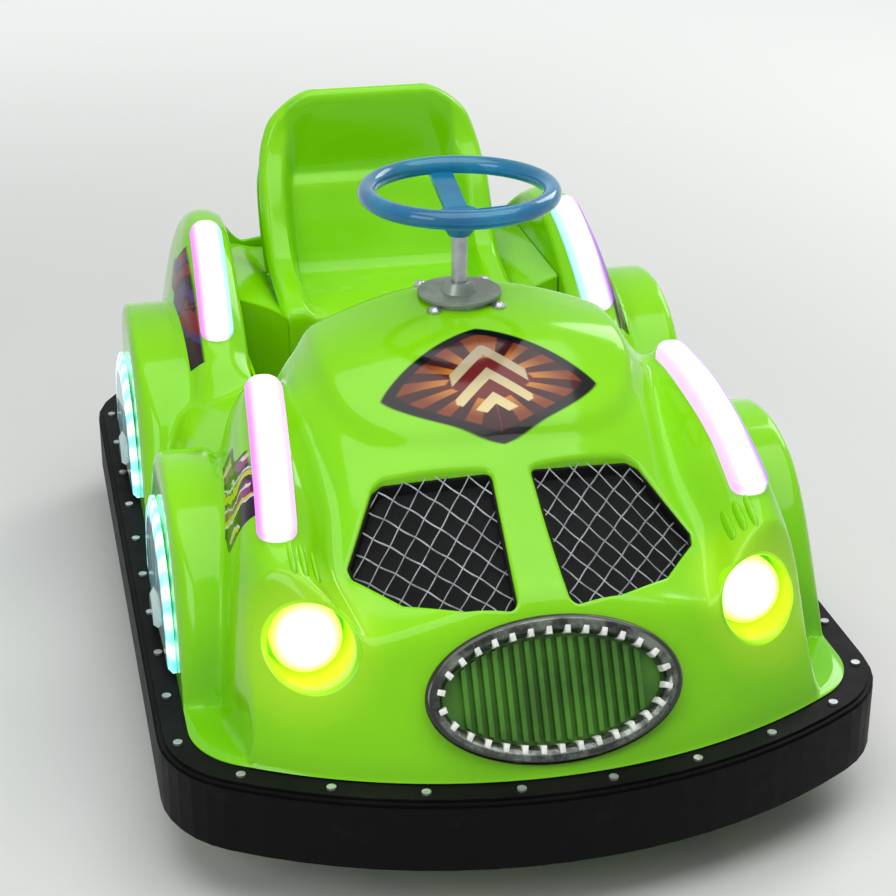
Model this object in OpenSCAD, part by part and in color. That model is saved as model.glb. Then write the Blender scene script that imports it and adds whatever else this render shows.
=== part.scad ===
// Battery bumper car in the style of a small vintage roadster, one seat, mm.
// Origin on the floor under the middle of the rubber ring, +Z up, nose towards -Y.
// Left and right are the driver's: the driver looks towards -Y, so left is +X.
// Two moulded shells and a cockpit tub stand on a welded frame inside the ring.
// One steered drive wheel stands under the column, two free wheels under the seat.

/* [Car] */
// width over the rubber ring
car_w = 970; // [960:5:1000]
// length over the rubber ring
car_l = 1500; // [1480:5:1540]
// height of the ring's lower edge over the floor
ring_low = 83; // [75:1:92]
// height of the ring's outer face
ring_h = 102; // [90:1:104]
// width of the ring's flange beside the shells
ring_lip = 40; // [34:1:48]

/* [Shells] */
// thickness of the moulded shells
skin = 6; // [5:0.5:8]
// height of the cowl at the column
cowl_z = 612; // [596:1:626]
// height of the front wing's crest
wing_front_z = 528; // [515:1:540]
// height of the rear wing's crest
wing_rear_z = 560; // [548:1:575]
// distance of the wing crests from the middle
wing_x = 304; // [298:1:308]
// height of the door sill
sill_z = 400; // [385:1:420]
// radius of the front side pods
pod_r = 238; // [228:1:244]
// radius of the rear side pods
pod_rear_r = 256; // [246:1:262]
// place of the front pod along the car
pod_front_y = -210; // [-220:1:-200]
// place of the rear pod along the car
pod_rear_y = 342; // [332:1:352]

/* [Seat] */
// width of the moulded seat
seat_w = 386; // [370:2:396]
// height of the seat pan
seat_pan_z = 432; // [415:1:445]
// height of the backrest's top edge
seat_top_z = 728; // [715:1:745]
// place of the backrest's upper panel
seat_back_y = 556; // [546:1:562]

/* [Steering] */
// diameter of the steering wheel
rim_d = 282; // [264:2:300]
// thickness of the steering wheel's rim
rim_t = 26; // [20:1:28]
// depth of the hub's face under the rim's middle
rim_dish = 28; // [22:1:32]
// height of the rim's middle
rim_z = 760; // [745:1:780]
// place of the column along the car
column_y = -120; // [-126:1:-112]
// diameter of the column
column_d = 22; // [20:1:26]

/* [Wheels] */
// diameter of the drive wheel
drive_d = 160; // [154:2:164]
// diameter of the free rear wheels
rear_d = 160; // [150:2:170]
// width of the wheels
wheel_w = 42; // [36:1:46]
// distance of the rear wheels from the middle
rear_x = 300; // [292:1:306]
// place of the rear axle along the car
rear_y = 470; // [460:1:480]

/* [Lamps and grille] */
// diameter of a headlamp's lens
lamp_d = 92; // [84:1:98]
// width of the oval grille
grille_w = 332; // [316:2:340]
// height of the oval grille
grille_h = 186; // [176:2:192]
// width of the light bars on the wings
bar_w = 52; // [44:1:56]
// spacing of the wire mesh in the hood windows
wire_step = 20; // [16:1:26]

/* [Hidden] */
ring_top = ring_low + ring_h;
half_w = car_w / 2;
half_l = car_l / 2;
foot_z = ring_top + 2;
shell_w = half_w - ring_lip;
nose_r = 780;
tail_r = 1400;
corner_r = 150;
seam_y = 62;
open_x = 262;
open_front = -66;
open_rear = 612;
fit = 0.3;
frame_z = 92;
tube = 30;
floor_z = frame_z + tube;
// ends of the cockpit's floor and walls
tub_front = -430;
tub_l = 1040;
// lower edge of the turned-down rim round the cockpit, and of the dash under the cowl
edge_z = 398;
dash_z = 560;
e = 0.01;

// shape of the shells, all heights in mm over the floor

// smooth curve through a table of [place, value, ...]
function spot(t, T, i = 0) =
    i >= len(T) - 2 || t < T[i + 1][0] ? i : spot(t, T, i + 1);
function slope(T, i, c) = i <= 0 ? (T[1][c] - T[0][c]) / (T[1][0] - T[0][0])
    : i >= len(T) - 1 ? (T[i][c] - T[i - 1][c]) / (T[i][0] - T[i - 1][0])
    : (T[i + 1][c] - T[i - 1][c]) / (T[i + 1][0] - T[i - 1][0]);
function curve(t, T, c = 1) =
    let(i = spot(t, T),
        a = T[i],
        b = T[i + 1],
        h = b[0] - a[0],
        u = min(1, max(0, (t - a[0]) / h)),
        m = slope(T, i, c) * h,
        n = slope(T, i + 1, c) * h)
    a[c] * (2 * u * u * u - 3 * u * u + 1) + m * (u * u * u - 2 * u * u + u)
    + b[c] * (3 * u * u - 2 * u * u * u) + n * (u * u * u - u * u);

// larger of two heights with a soft corner of size k
function soft_max(a, b, k) =
    max(a, b) + pow(max(k - abs(a - b), 0), 2) / (4 * k);

// middle line of the nose and hood: place, height, fall to the sides, valley beside the wings
HOOD = [
    [-712, 345, 0.0006, 0.000],
    [-650, 366, 0.0008, 0.000],
    [-586, 384, 0.0008, 0.000],
    [-500, 428, 0.0009, 0.000],
    [-421, 478, 0.0011, 0.001],
    [-393, 494, 0.0011, 0.003],
    [-300, cowl_z - 68, 0.0009, 0.010],
    [-218, cowl_z - 30, 0.0007, 0.012],
    [-120, cowl_z - 13, 0.0009, 0.012],
    [-66, cowl_z - 15, 0.0014, 0.010],
    [0, cowl_z - 90, 0.0030, 0.008],
    [70, 200, 0.0030, 0.000]
];
// crest of the front wing: place, height, shift outwards
WING_FRONT = [
    [-660, 388, -8],
    [-575, 402, -2],
    [-490, 431, 12],
    [-400, wing_front_z - 43, 5],
    [-300, wing_front_z - 13, -4],
    [-200, wing_front_z, -12],
    [-140, wing_front_z - 22, -14],
    [-80, 438, -14],
    [-30, 360, -14],
    [40, 200, -14]
];
// crest of the rear wing: place, height, shift outwards
WING_REAR = [
    [90, 200, 6],
    [130, 370, 6],
    [201, 440, 5],
    [300, wing_rear_z - 50, 0],
    [400, wing_rear_z - 5, -4],
    [480, wing_rear_z, -8],
    [560, wing_rear_z - 20, -10],
    [640, 490, -14],
    [700, 420, -18],
    [720, 400, -18]
];
// middle line of the tail: place, height, fall to the sides, valley
TAIL = [
    [100, 150, 0.0010, 0],
    [300, 200, 0.0010, 0],
    [520, 500, 0.0010, 0],
    [600, 500, 0.0010, 0],
    [650, 484, 0.0010, 0],
    [690, 450, 0.0010, 0],
    [720, 410, 0.0010, 0]
];
// steepness of a shell from its rim: at the sides, at the nose, at the tail
side_slope = 60;
nose_slope = 1.73;
tail_slope = 2.8;
// fall of the door sill towards its outer side
sill_fall = 40;

function smooth(t) = let(u = min(1, max(0, t))) u * u * (3 - 2 * u);
function outer_fall(d) = d > 0 ? 0.012 * d * d + 4.5e-6 * pow(d, 4) : 0;
function body_line(x, y, T) =
    curve(y, T) - curve(y, T, 2) * x * x - curve(y, T, 3) * pow(max(0, abs(x) - 200), 2)
    - outer_fall(abs(x) - wing_x);
function wing(x, y, T) =
    let(d = abs(x) - wing_x - curve(y, T, 2))
    curve(y, T) - (d > 0 ? outer_fall(d) : 0.012 * d * d);
function pod(x, y, yc, r) =
    let(r2 = r * r - (y - yc) * (y - yc),
        d = max(0, shell_w - 71 - abs(x)))
    190 + sqrt(max(0, r2)) - 0.03 * d * d;
function sill(x, y) =
    let(d = max(0, abs(x) - shell_w + 75),
        g = max(0, abs(y - seam_y) - 150))
    sill_z - sill_fall * pow(abs(x) / (shell_w - 85), 4) - 0.05 * d * d - 0.02 * g * g;
// egg-shaped raised middle of the hood, wide at the cowl and round at the windows
function mound(x, y) =
    let(d = pow(pow(abs(x) / 226, 2.9) + pow(max(0, -150 - y) / 230, 2.9), 1 / 2.9))
    12 * smooth((1.08 - d) / 0.2);
function front_top(x, y) =
    soft_max(soft_max(body_line(x, y, HOOD) + mound(x, y), wing(x, y, WING_FRONT), 30),
        soft_max(pod(x, y, pod_front_y, pod_r), sill(x, y), 14), 16);
function rear_top(x, y) =
    soft_max(soft_max(body_line(x, y, TAIL), wing(x, y, WING_REAR), 30),
        soft_max(pod(x, y, pod_rear_y, pod_rear_r), sill(x, y), 14), 16);

// plan outline: arc of radius r between two corner arcs, inset from the ring
function corner_y(r) = half_l - r + sqrt(pow(r - corner_r, 2) - pow(half_w - corner_r, 2));
function arc_turn(r) = asin((half_w - corner_r) / (r - corner_r));
// points of one half from the side at y0 round the end to the other side
function end_line(r, inset, y0, side_n, corner_n, arc_n) =
    let(yc = corner_y(r),
        a = arc_turn(r),
        w = half_w - inset,
        cr = corner_r - inset,
        er = r - inset)
    concat(
        [for (i = [0:side_n - 1]) [w, y0 + (yc - y0) * i / side_n]],
        [for (i = [0:corner_n - 1]) let(q = (90 - a) * i / corner_n)
            [half_w - corner_r + cr * cos(q), yc + cr * sin(q)]],
        [for (i = [0:arc_n]) let(q = 90 - a + 2 * a * i / arc_n)
            [er * cos(q), half_l - r + er * sin(q)]],
        [for (i = [corner_n - 1:-1:0]) let(q = (90 - a) * i / corner_n)
            [corner_r - half_w - cr * cos(q), yc + cr * sin(q)]],
        [for (i = [side_n - 1:-1:0]) [-w, y0 + (yc - y0) * i / side_n]]);
// closed plan outline of the whole car
function plan_line(inset) =
    concat([for (p = end_line(tail_r, inset, 0, 1, 6, 14)) p],
        [for (p = end_line(nose_r, inset, 0, 1, 6, 18)) [-p[0], -p[1]]]);
module plan(inset) {
    polygon(plan_line(inset));
}

// plan of the cockpit opening, wider by g all round
module opening(g) {
    r = 70;
    for (x = [-1, 1]) for (y = [open_front + r, open_rear - r])
        translate([x * (open_x - r), y]) circle(r + g, $fn = 24);
    translate([-open_x - g, open_front + r]) square([2 * open_x + 2 * g, open_rear - open_front - 2 * r]);
    translate([r - open_x, open_front - g]) square([2 * open_x - 2 * r, open_rear - open_front + 2 * g]);
}

// solid under a shell's skin; sgn is -1 for the nose, 1 for the tail
// rows run from the rim straight to the middle line and fan out round the end
function spine_y(y, y1, fan) = y < y1 ? y : y1 + fan * sin(90 * min(1, (y - y1) / (half_l - ring_lip - y1)));
ACROSS = [0, 0.002, 0.008, 0.024, 0.05, 0.085, 0.12, 0.15, 0.178, 0.206, 0.24, 0.28, 0.32,
    0.365, 0.42, 0.49, 0.58, 0.68, 0.79, 0.895, 1];
INSIDE = [0, 0.015, 0.05, 0.09, 0.13, 0.165, 0.2, 0.24, 0.28, 0.33, 0.39, 0.47, 0.58, 0.72, 0.86, 1];
// d is the distance from the rim; pods stand upright and square, the rest is rounded
function skin_height(x, y, d, drop, sgn) =
    let(end = smooth((abs(y) - 430) / 130),
        square = exp(-pow((y - (sgn < 0 ? pod_front_y : pod_rear_y)) / 190, 4)),
        lean = 1 / side_slope + (1 / (sgn < 0 ? nose_slope : tail_slope) - 1 / side_slope) * end,
        form = sgn < 0 ? front_top(x, y) : rear_top(x, y),
        top = -soft_max(-form, -foot_z - d / lean - 12 * (1 - end), 24),
        reach = (60 - 38 * square) * (1 - end) + 16 * end,
        power = 2.3 + 2.7 * square,
        t = min(1, d / reach))
    foot_z + (max(top - drop, foot_z + 1) - foot_z) * pow(1 - pow(1 - t, power), 1 / power);
module under_skin(r, sgn, inset, drop, over, side_n, arc_n, across) {
    rim = end_line(r, inset, sgn * seam_y - over, side_n, 6, arc_n);
    n = len(rim);
    m = len(across);
    top = [for (a = rim)
        let(b = [0, spine_y(a[1], 400, 80)],
            l = norm(b - a))
        for (s = across)
            let(p = a + (b - a) * s)
            [p[0], sgn * p[1], skin_height(p[0], sgn * p[1], l * s, drop, sgn)]];
    low = [for (a = rim) [a[0], sgn * a[1], ring_top - (drop > 0 ? 1 : 0)]];
    o = n * m;
    k = o - m;
    end_face = concat([for (j = [m - 1:-1:0]) j], [o, o + n - 1], [for (j = [0:m - 2]) k + j]);
    low_face = [for (i = [0:n - 1]) o + i];
    rim_quads = [for (i = [0:n - 2]) [i * m, (i + 1) * m, o + i + 1, o + i]];
    skin_quads = [for (i = [0:n - 2]) for (j = [0:m - 2])
        [i * m + j, i * m + j + 1, (i + 1) * m + j + 1, (i + 1) * m + j]];
    quads = concat(skin_quads, rim_quads);
    faces = concat([for (f = quads) for (t = [[f[0], f[1], f[2]], [f[0], f[2], f[3]]]) t],
        [end_face], [[for (i = [n - 1:-1:0]) low_face[i]]]);
    polyhedron(concat(top, low), [for (f = faces) sgn > 0 ? f : [for (i = [len(f) - 1:-1:0]) f[i]]]);
}
// moulded shell with the turned-down edge of the cockpit
module shell(r, sgn, side_n, arc_n) {
    difference() {
        under_skin(r, sgn, ring_lip, 0, 0, side_n, arc_n, ACROSS);
        difference() {
            under_skin(r, sgn, ring_lip + skin, skin, 2, side_n, arc_n, INSIDE);
            difference() {
                translate([0, sgn < 0 ? -40 : 0, edge_z]) linear_extrude(400) opening(skin);
                if (sgn < 0) translate([-open_x + 60, -400, 0]) cube([2 * open_x - 120, 400, dash_z]);
            }
        }
        translate([0, 0, ring_top - 5]) linear_extrude(700) opening(0);
    }
}

// point at length s along a line of points
function lengths(P, i = 1, s = 0) =
    i >= len(P) ? [s] : concat([s], lengths(P, i + 1, s + norm(P[i] - P[i - 1])));
function at_length(P, L, s, i = 1) =
    i >= len(P) - 1 || L[i] >= s ? P[i - 1] + (P[i] - P[i - 1]) * (s - L[i - 1]) / (L[i] - L[i - 1])
    : at_length(P, L, s, i + 1);

// window of the hood in plan, its plane and the oval of the grille
WINDOW = [
    [26, -420],
    [166, -391],
    [181, -398],
    [229, -484],
    [226, -500],
    [172, -562],
    [100, -596],
    [34, -604]
];
win_slope = 0.564;
win_fall = 0.24;
win_z = 723;
grille_y = -656;
grille_z = 280;
grille_tilt = 30;
grille_rim = 24;
stud_n = 28;
lamp_x = 292;
lamp_y = -548;
lamp_z = 326;
lamp_up = 12;
pocket_d = lamp_d + 14;
pocket_rim = 13;
pocket_slope = 16;
bar_r = 515;
bar_h = 14;
// light bars on a wing: place, height, pitch, half turn, yaw
BAR_FRONT = [-339.5, 503.5, 17, 15, 5];
BAR_REAR = [306, 508.5, 29, 11, 2.5];
disc_r = 168;
disc_z = 200;

module both() {
    children();
    mirror([1, 0, 0]) children();
}
// sheet of thickness t in the plane of a hood window, its top at depth d
module in_window(d, t) {
    multmatrix([[1, 0, 0, 0], [0, 1, 0, 0], [-win_fall, win_slope, 1, win_z - d - t], [0, 0, 0, 1]])
        linear_extrude(t) children();
}
module window_plan(inset) {
    offset(delta = -inset) polygon(WINDOW);
}
module at_grille() {
    translate([0, grille_y, grille_z]) rotate([90 - grille_tilt, 0, 0]) children();
}
module at_lamp() {
    translate([lamp_x, lamp_y, lamp_z]) rotate([90 - lamp_up, 0, 0]) children();
}
module oval(inset, h) {
    linear_extrude(h) scale([grille_w / 2 - inset, grille_h / 2 - inset]) circle(1, $fn = 96);
}
// frame on the arc of a light bar: top of the arc turned by a towards the nose
module at_bar(B, a = 0) {
    translate([wing_x, B[0], B[1]]) rotate([0, 0, B[4]]) rotate([B[2], 0, 0])
        translate([0, 0, -bar_r]) rotate([a, 0, 0]) children();
}
// outline of a light bar seen along its middle radius
module bar_plan(B, w, n) {
    run = bar_r * sin(B[3]);
    square([w, 2 * run], center = true);
    for (s = [-1, 1]) translate([0, s * run]) circle(w / 2 / cos(180 / n), $fn = n);
}
// light bar with a domed section and round ends, bent along the crest of a wing
module light_bar(B) {
    w = bar_w - 2 * fit;
    at_bar(B) intersection() {
        rotate([90, 0, 90]) rotate([0, 0, 86 - B[3]]) rotate_extrude(angle = 2 * B[3] + 8, $fn = 180)
            translate([bar_r, 0]) polygon([[-16, -w / 2], [bar_h * 0.3, -w / 2], [bar_h * 0.8, -w * 0.36],
                [bar_h, -w * 0.18], [bar_h, w * 0.18], [bar_h * 0.8, w * 0.36], [bar_h * 0.3, w / 2],
                [-16, w / 2]]);
        translate([0, 0, bar_r - 60]) linear_extrude(90) bar_plan(B, w + 0.6, 72);
    }
}
// slot that seats a light bar
module bar_slot(B) {
    at_bar(B) translate([0, 0, bar_r - 60]) linear_extrude(110) {
        bar_plan(B, bar_w + 0.8, 20);
    }
}
// many-sided hole whose flats stand at diameter d
module hole(d, h, n) {
    cylinder(h = h, r = d / 2 / cos(180 / n), $fn = n);
}

// ring and frame
RING_STEPS = [
    [0, 5, 4],
    [5, ring_h - 14, 0],
    [ring_h - 9, 5, 3],
    [ring_h - 4, 4, 8]
];
module bumper_ring() {
    color("#1b1b1d") difference() {
        for (s = RING_STEPS) translate([0, 0, ring_low + s[0]]) linear_extrude(s[1]) plan(s[2]);
        translate([0, 0, ring_low - 1]) linear_extrude(ring_h - 13) plan(26);
        translate([0, 0, ring_top - 20]) linear_extrude(30) plan(66);
    }
}
bolt_line = end_line(nose_r, ring_lip - 18, 0, 1, 8, 24);
tail_line = end_line(tail_r, ring_lip - 18, 0, 1, 8, 24);
module bumper_bolts() {
    nose_len = lengths(bolt_line);
    tail_len = lengths(tail_line);
    n = 18;
    color("#c9ccd0") for (i = [0:n - 1]) {
        a = at_length(bolt_line, nose_len, nose_len[len(nose_len) - 1] * (i + 0.5) / n);
        b = at_length(tail_line, tail_len, tail_len[len(tail_len) - 1] * (i + 0.5) / n);
        translate([a[0], -a[1], ring_top]) cylinder(h = 3, d = 12, $fn = 24);
        translate([b[0], b[1], ring_top]) cylinder(h = 3, d = 12, $fn = 24);
    }
}
module chassis_frame() {
    color("#26282b") {
        translate([0, 0, frame_z]) linear_extrude(tube) union() {
            difference() {
                plan(26);
                plan(34);
            }
            intersection() {
                plan(30);
                union() {
                    for (s = [-1, 1]) translate([s * 235 - 15, -half_l - 10]) square([tube, car_l + 20]);
                    for (y = [160 - half_l, -280, 10, 240, half_l - 150])
                        translate([-half_w, y]) square([car_w, tube]);
                }
            }
        }
        for (y = [-280, 10]) translate([-15, y, floor_z - e]) cube([30, 30, 104]);
        difference() {
            union() {
                translate([-20, -280, floor_z + 100]) cube([40, 320, 22]);
                translate([0, column_y, floor_z + 94]) cylinder(h = 46, d = 62, $fn = 48);
            }
            translate([0, column_y, floor_z + 80]) cylinder(h = 80, r = column_d / 2 + 0.1, $fn = 48);
        }
        both() difference() {
            translate([240, rear_y - 30, 58]) cube([6, 60, frame_z - 56]);
            translate([230, rear_y, rear_d / 2]) rotate([0, 90, 0]) cylinder(h = 30, d = 16, $fn = 36);
        }
    }
}

// shells and cockpit
module front_body() {
    color("#7be01a") resize([2 * shell_w, 0, 0]) difference() {
        shell(nose_r, -1, 17, 16);
        both() translate([0, 0, 300]) linear_extrude(300) polygon(WINDOW);
        at_grille() translate([0, 0, -60]) scale([grille_w / 2 - 8, grille_h / 2 - 8, 1])
            hole(2, 120, 32);
        at_grille() translate([0, 0, 1 - fit]) scale([grille_w / 2 + fit, grille_h / 2 + fit, 1])
            hole(2, 60, 32);
        both() at_lamp() translate([0, 0, -90]) hole(pocket_d + 6, 160, 24);
        translate([0, column_y, 500]) hole(108, 200, 20);
        both() bar_slot(BAR_FRONT);
    }
}
module rear_body() {
    color("#7be01a") resize([2 * shell_w, 0, 0]) difference() {
        shell(tail_r, 1, 18, 12);
        both() bar_slot(BAR_REAR);
    }
}
module cockpit_liner() {
    w = open_x - fit;
    under_sill = sill_z - sill_fall * pow(open_x / (shell_w - 85), 4) - skin - 2 * fit;
    color("#7be01a") difference() {
        union() {
            for (s = [-1, 1]) translate([s * (w - 2) - 2, tub_front, floor_z + 4])
                cube([4, tub_l, edge_z - floor_z - 4 - fit]);
            translate([4 - w, tub_front, floor_z + 4]) cube([2 * w - 8, 4, 236]);
            translate([4 - w, tub_front + tub_l - 4, floor_z + 4]) cube([2 * w - 8, 4, 266]);
        }
        translate([-open_x, -45, under_sill]) cube([2 * open_x, 48, 40]);
    }
}
module floor_pan() {
    w = open_x - fit;
    color("#222427") difference() {
        translate([-w, tub_front, floor_z]) cube([2 * w, tub_l, 4]);
        translate([-119, -296, floor_z - 1]) cube([238, 352, 6]);
    }
}
module drive_cover() {
    color("#222427") difference() {
        translate([-122, -299, floor_z + 4]) cube([244, 358, 148]);
        translate([-118, -295, floor_z + 3]) cube([236, 350, 145]);
        translate([0, column_y, floor_z + 100]) cylinder(h = 80, d = 40, $fn = 36);
    }
}
// moulded bucket seat, all heights over the pan
// face of the lower and upper back: height, place
BACK = [
    [0, -84],
    [8, -74],
    [24, -66],
    [80, -44],
    [146, -16],
    [162, -3],
    [190, 0],
    [300, 8]
];
// edge of the side bolster from the front of the pan to the top: place, height
BOLSTER = [
    [296, -8],
    [304, 8],
    [340, 24],
    [410, 36],
    [450, 56],
    [480, 102],
    [512, 164],
    [540, 212],
    [556, 300]
];
// half of the outline seen from the front: height, share of half the width
OUTLINE = [
    [-30, 0.975],
    [60, 1],
    [150, 1],
    [178, 0.975],
    [228, 0.86]
];
function back_y(h) = seat_back_y + curve(h, BACK);
module across(x0, x1) {
    translate([x0, 0, seat_pan_z]) rotate([90, 0, 90]) linear_extrude(x1 - x0) children();
}
module seat_shell() {
    front = 296;
    wall = 8;
    high = seat_top_z - seat_pan_z;
    side = 42;
    r = 70;
    steps = [for (h = [8:14:high + 20]) h];
    color("#7be01a") {
        intersection() {
            union() {
                across(side - seat_w / 2, seat_w / 2 - side) polygon(concat(
                    [[front, -22], [front, -4], [front + 4, 0], [back_y(0), 0]],
                    [for (h = steps) [back_y(h), h]],
                    [for (i = [len(steps) - 1:-1:0]) [back_y(steps[i]) + wall + 2, steps[i]]],
                    [[back_y(0) + wall, -wall], [front + wall, -wall], [front + wall, -22]]));
                both() across(seat_w / 2 - side, seat_w / 2 + 10) polygon(concat(
                    [for (t = [0:13:260]) [front + t, curve(front + t, BOLSTER)]],
                    [[seat_back_y + 20, high + 20], [seat_back_y + 20, 150], [seat_back_y - 6, 60],
                    [seat_back_y - 50, -wall], [front + wall, -wall], [front + wall, -22], [front, -22]]));
            }
            translate([0, 620, seat_pan_z]) rotate([90, 0, 0]) linear_extrude(340) union() {
                polygon(concat([for (p = OUTLINE) [p[1] * seat_w / 2, p[0]]],
                    [for (i = [len(OUTLINE) - 1:-1:0]) [-OUTLINE[i][1] * seat_w / 2, OUTLINE[i][0]]]));
                for (s = [-1, 1]) translate([s * (0.86 * seat_w / 2 - r), high - r]) circle(r, $fn = 96);
                translate([r - 0.86 * seat_w / 2, 200]) square([0.86 * seat_w - 2 * r, high - 200]);
            }
        }
        both() intersection() {
            translate([0, 606 - fit, seat_pan_z]) rotate([90, 0, 0]) linear_extrude(606 - fit - front)
                polygon([[seat_w / 2 - 8, -22], [seat_w / 2 - 8, 4], [seat_w / 2 + 14, 14],
                    [open_x - 4.6, 40], [open_x - 4.6, 34], [seat_w / 2 + 16, 6], [seat_w / 2, -6],
                    [seat_w / 2, -22]]);
            translate([0, 0, seat_pan_z - 40]) linear_extrude(100) opening(-3 * fit);
        }
        translate([-seat_w / 2, front, floor_z + 4]) cube([seat_w, 8, seat_pan_z - floor_z - 26]);
    }
}
module seat_box() {
    color("#222427") difference() {
        translate([-180, 304 + fit, floor_z + 4]) cube([360, 246, seat_pan_z - 12 - floor_z - fit]);
        translate([-175, 309, floor_z + 3]) cube([350, 237, seat_pan_z - 16 - floor_z]);
    }
}

// windows, grille, lamps
module vent_trays() {
    color("#101113") both() difference() {
        intersection() {
            in_window(9, 20) window_plan(0.1);
            translate([0, -700, 0]) cube([300, 400, 700]);
        }
        in_window(-1, 24) window_plan(3);
    }
}
module wire_mesh() {
    in_window(12, 2.4) intersection() {
        window_plan(3.2);
        union() {
            difference() {
                window_plan(3);
                window_plan(6);
            }
            for (s = [-1, 1]) for (i = [-16:16]) translate([130, -486]) rotate(45 * s)
                translate([i * wire_step, 0]) square([2.4, 500], center = true);
        }
    }
}
module vent_mesh_left() {
    color("#8b8f94") wire_mesh();
}
module vent_mesh_right() {
    color("#8b8f94") mirror([1, 0, 0]) wire_mesh();
}
module grille_ring() {
    a = grille_w / 2 - grille_rim;
    b = grille_h / 2 - grille_rim;
    color("#c9ccd0") at_grille() {
        difference() {
            union() {
                translate([0, 0, 1]) oval(0, 5);
                translate([0, 0, 6]) oval(4, 4);
                translate([0, 0, -20]) oval(8.2, 21);
            }
            translate([0, 0, -60]) oval(grille_rim, 120);
        }
        for (i = [0:stud_n - 1]) let(q = 360 * i / stud_n)
            translate([a * cos(q), b * sin(q), -2]) rotate(atan2(a * sin(q), b * cos(q)))
                cube([7, 12, 9], center = true);
    }
}
module grille_slats() {
    color("#5fae18") at_grille() {
        translate([0, 0, -20]) oval(grille_rim + 0.2, 4);
        intersection() {
            translate([0, 0, -20]) oval(grille_rim + 5, 24);
            for (i = [-8:8]) translate([i * 14 - 3, -grille_h, -18]) cube([6, 2 * grille_h, 12]);
        }
    }
}
// round pocket of a headlamp, its mouth cut along the slope of the shell
module headlamp_cups() {
    color("#7be01a") both() at_lamp() difference() {
        translate([0, 0, -60]) cylinder(h = 110, d = pocket_d + 5.4, $fn = 72);
        translate([0, 0, -54]) cylinder(h = 120, d = pocket_d, $fn = 72);
        translate([0, 0, pocket_rim]) rotate([-pocket_slope, 0, 0]) translate([-100, -200, 0])
            cube([200, 400, 200]);
    }
}
module headlamp_lenses() {
    color("#fffbe8") both() at_lamp() {
        translate([0, 0, -53.7]) cylinder(h = 40, d = lamp_d, $fn = 72);
        translate([0, 0, -13.7]) scale([1, 1, 0.3]) sphere(d = lamp_d, $fn = 72);
    }
}
module front_light_bars() {
    color("#ffffff") both() light_bar(BAR_FRONT);
}
module rear_light_bars() {
    color("#ffffff") both() light_bar(BAR_REAR);
}
module disc_half(y) {
    translate([shell_w + fit, y, disc_z]) rotate([90, 0, 90])
        rotate_extrude(angle = 180, $fn = 96)
            polygon([[0, 0], [disc_r, 0], [disc_r, 5], [disc_r - 14, 10], [40, 12], [30, 18], [0, 18]]);
}
module front_wheel_discs() {
    color("#e8fbff") both() disc_half(pod_front_y);
}
module rear_wheel_discs() {
    color("#e8fbff") both() disc_half(pod_rear_y);
}

// steering
module column_flange() {
    color("#c9ccd0") difference() {
        union() {
            translate([0, column_y, cowl_z - 10]) cylinder(h = 12, d = 107.6, $fn = 72);
            translate([0, column_y, cowl_z]) cylinder(h = 4, d = 118, $fn = 72);
            translate([0, column_y, cowl_z]) cylinder(h = 18, d1 = 56, d2 = 38, $fn = 48);
        }
        translate([0, column_y, cowl_z - 20]) cylinder(h = 60, r = column_d / 2 + 0.5, $fn = 48);
    }
}
module steering_column() {
    color("#b9bdc2") translate([0, column_y, 204])
        cylinder(h = rim_z - rim_dish - 34 - 204, d = column_d, $fn = 48);
}
module steering_wheel() {
    r = rim_d / 2 - rim_t / 2;
    fall = rim_dish - 4;
    color("#1f9fd8") translate([0, column_y, rim_z]) {
        rotate_extrude($fn = 120) translate([r, 0]) circle(d = rim_t, $fn = 32);
        translate([0, 0, -rim_dish - 34]) cylinder(h = 14, d1 = 32, d2 = 52, $fn = 48);
        translate([0, 0, -rim_dish - 20]) cylinder(h = 20, d = 52, $fn = 48);
        for (a = [90, 210, 330]) rotate(a) translate([16, -16, -rim_dish - 10])
            rotate([0, -atan(fall / (r - 16)), 0]) cube([r - 14, 32, 9]);
    }
}
module drive_fork() {
    g = wheel_w / 2;
    color("#3a3d41") translate([0, column_y, 0]) difference() {
        union() {
            for (s = [-1, 1]) translate([s * (g + 9) - 3, -22, 58]) cube([6, 44, 138]);
            translate([-g - 12, -30, 190]) cube([2 * g + 24, 60, 8]);
            translate([0, 0, 190]) cylinder(h = 14, d = 44, $fn = 48);
        }
        translate([-60, 0, drive_d / 2]) rotate([0, 90, 0]) cylinder(h = 120, d = 12, $fn = 36);
    }
}
module drive_axle() {
    g = wheel_w / 2;
    color("#b9bdc2") translate([-g - 18, column_y, drive_d / 2]) rotate([0, 90, 0])
        cylinder(h = 2 * g + 30 - fit, d = 12, $fn = 36);
}
module drive_motor() {
    color("#5a5e63") translate([wheel_w / 2 + 12, column_y, 106]) rotate([0, 90, 0]) {
        cylinder(h = 58, d = 66, $fn = 48);
        translate([0, 0, 58]) cylinder(h = 6, d = 50, $fn = 48);
    }
}
// solid wheel on its own axis: tyre of width w and diameter d, hub inside
module tyre(d, w) {
    r = d / 2;
    rotate([0, 90, 0]) rotate_extrude($fn = 96)
        polygon([[r - 24, -w / 2 + 3], [r - 6, -w / 2], [r - 2, -w / 2 + 4], [r, -w / 2 + 9],
            [r, w / 2 - 9], [r - 2, w / 2 - 4], [r - 6, w / 2], [r - 24, w / 2 - 3]]);
}
module hub(d, w, bore) {
    r = d / 2;
    rotate([0, 90, 0]) rotate_extrude($fn = 96)
        polygon([[bore / 2, -w / 2 - 3], [16, -w / 2 - 3], [18, -8], [r - 34, -6], [r - 34, -w / 2 + 4],
            [r - 24, -w / 2 + 3], [r - 24, w / 2 - 3], [r - 34, w / 2 - 4], [r - 34, 6],
            [18, 8], [16, w / 2 + 3], [bore / 2, w / 2 + 3]]);
}
module drive_tyre() {
    color("#1b1b1d") translate([0, column_y, drive_d / 2]) tyre(drive_d, wheel_w);
}
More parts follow.
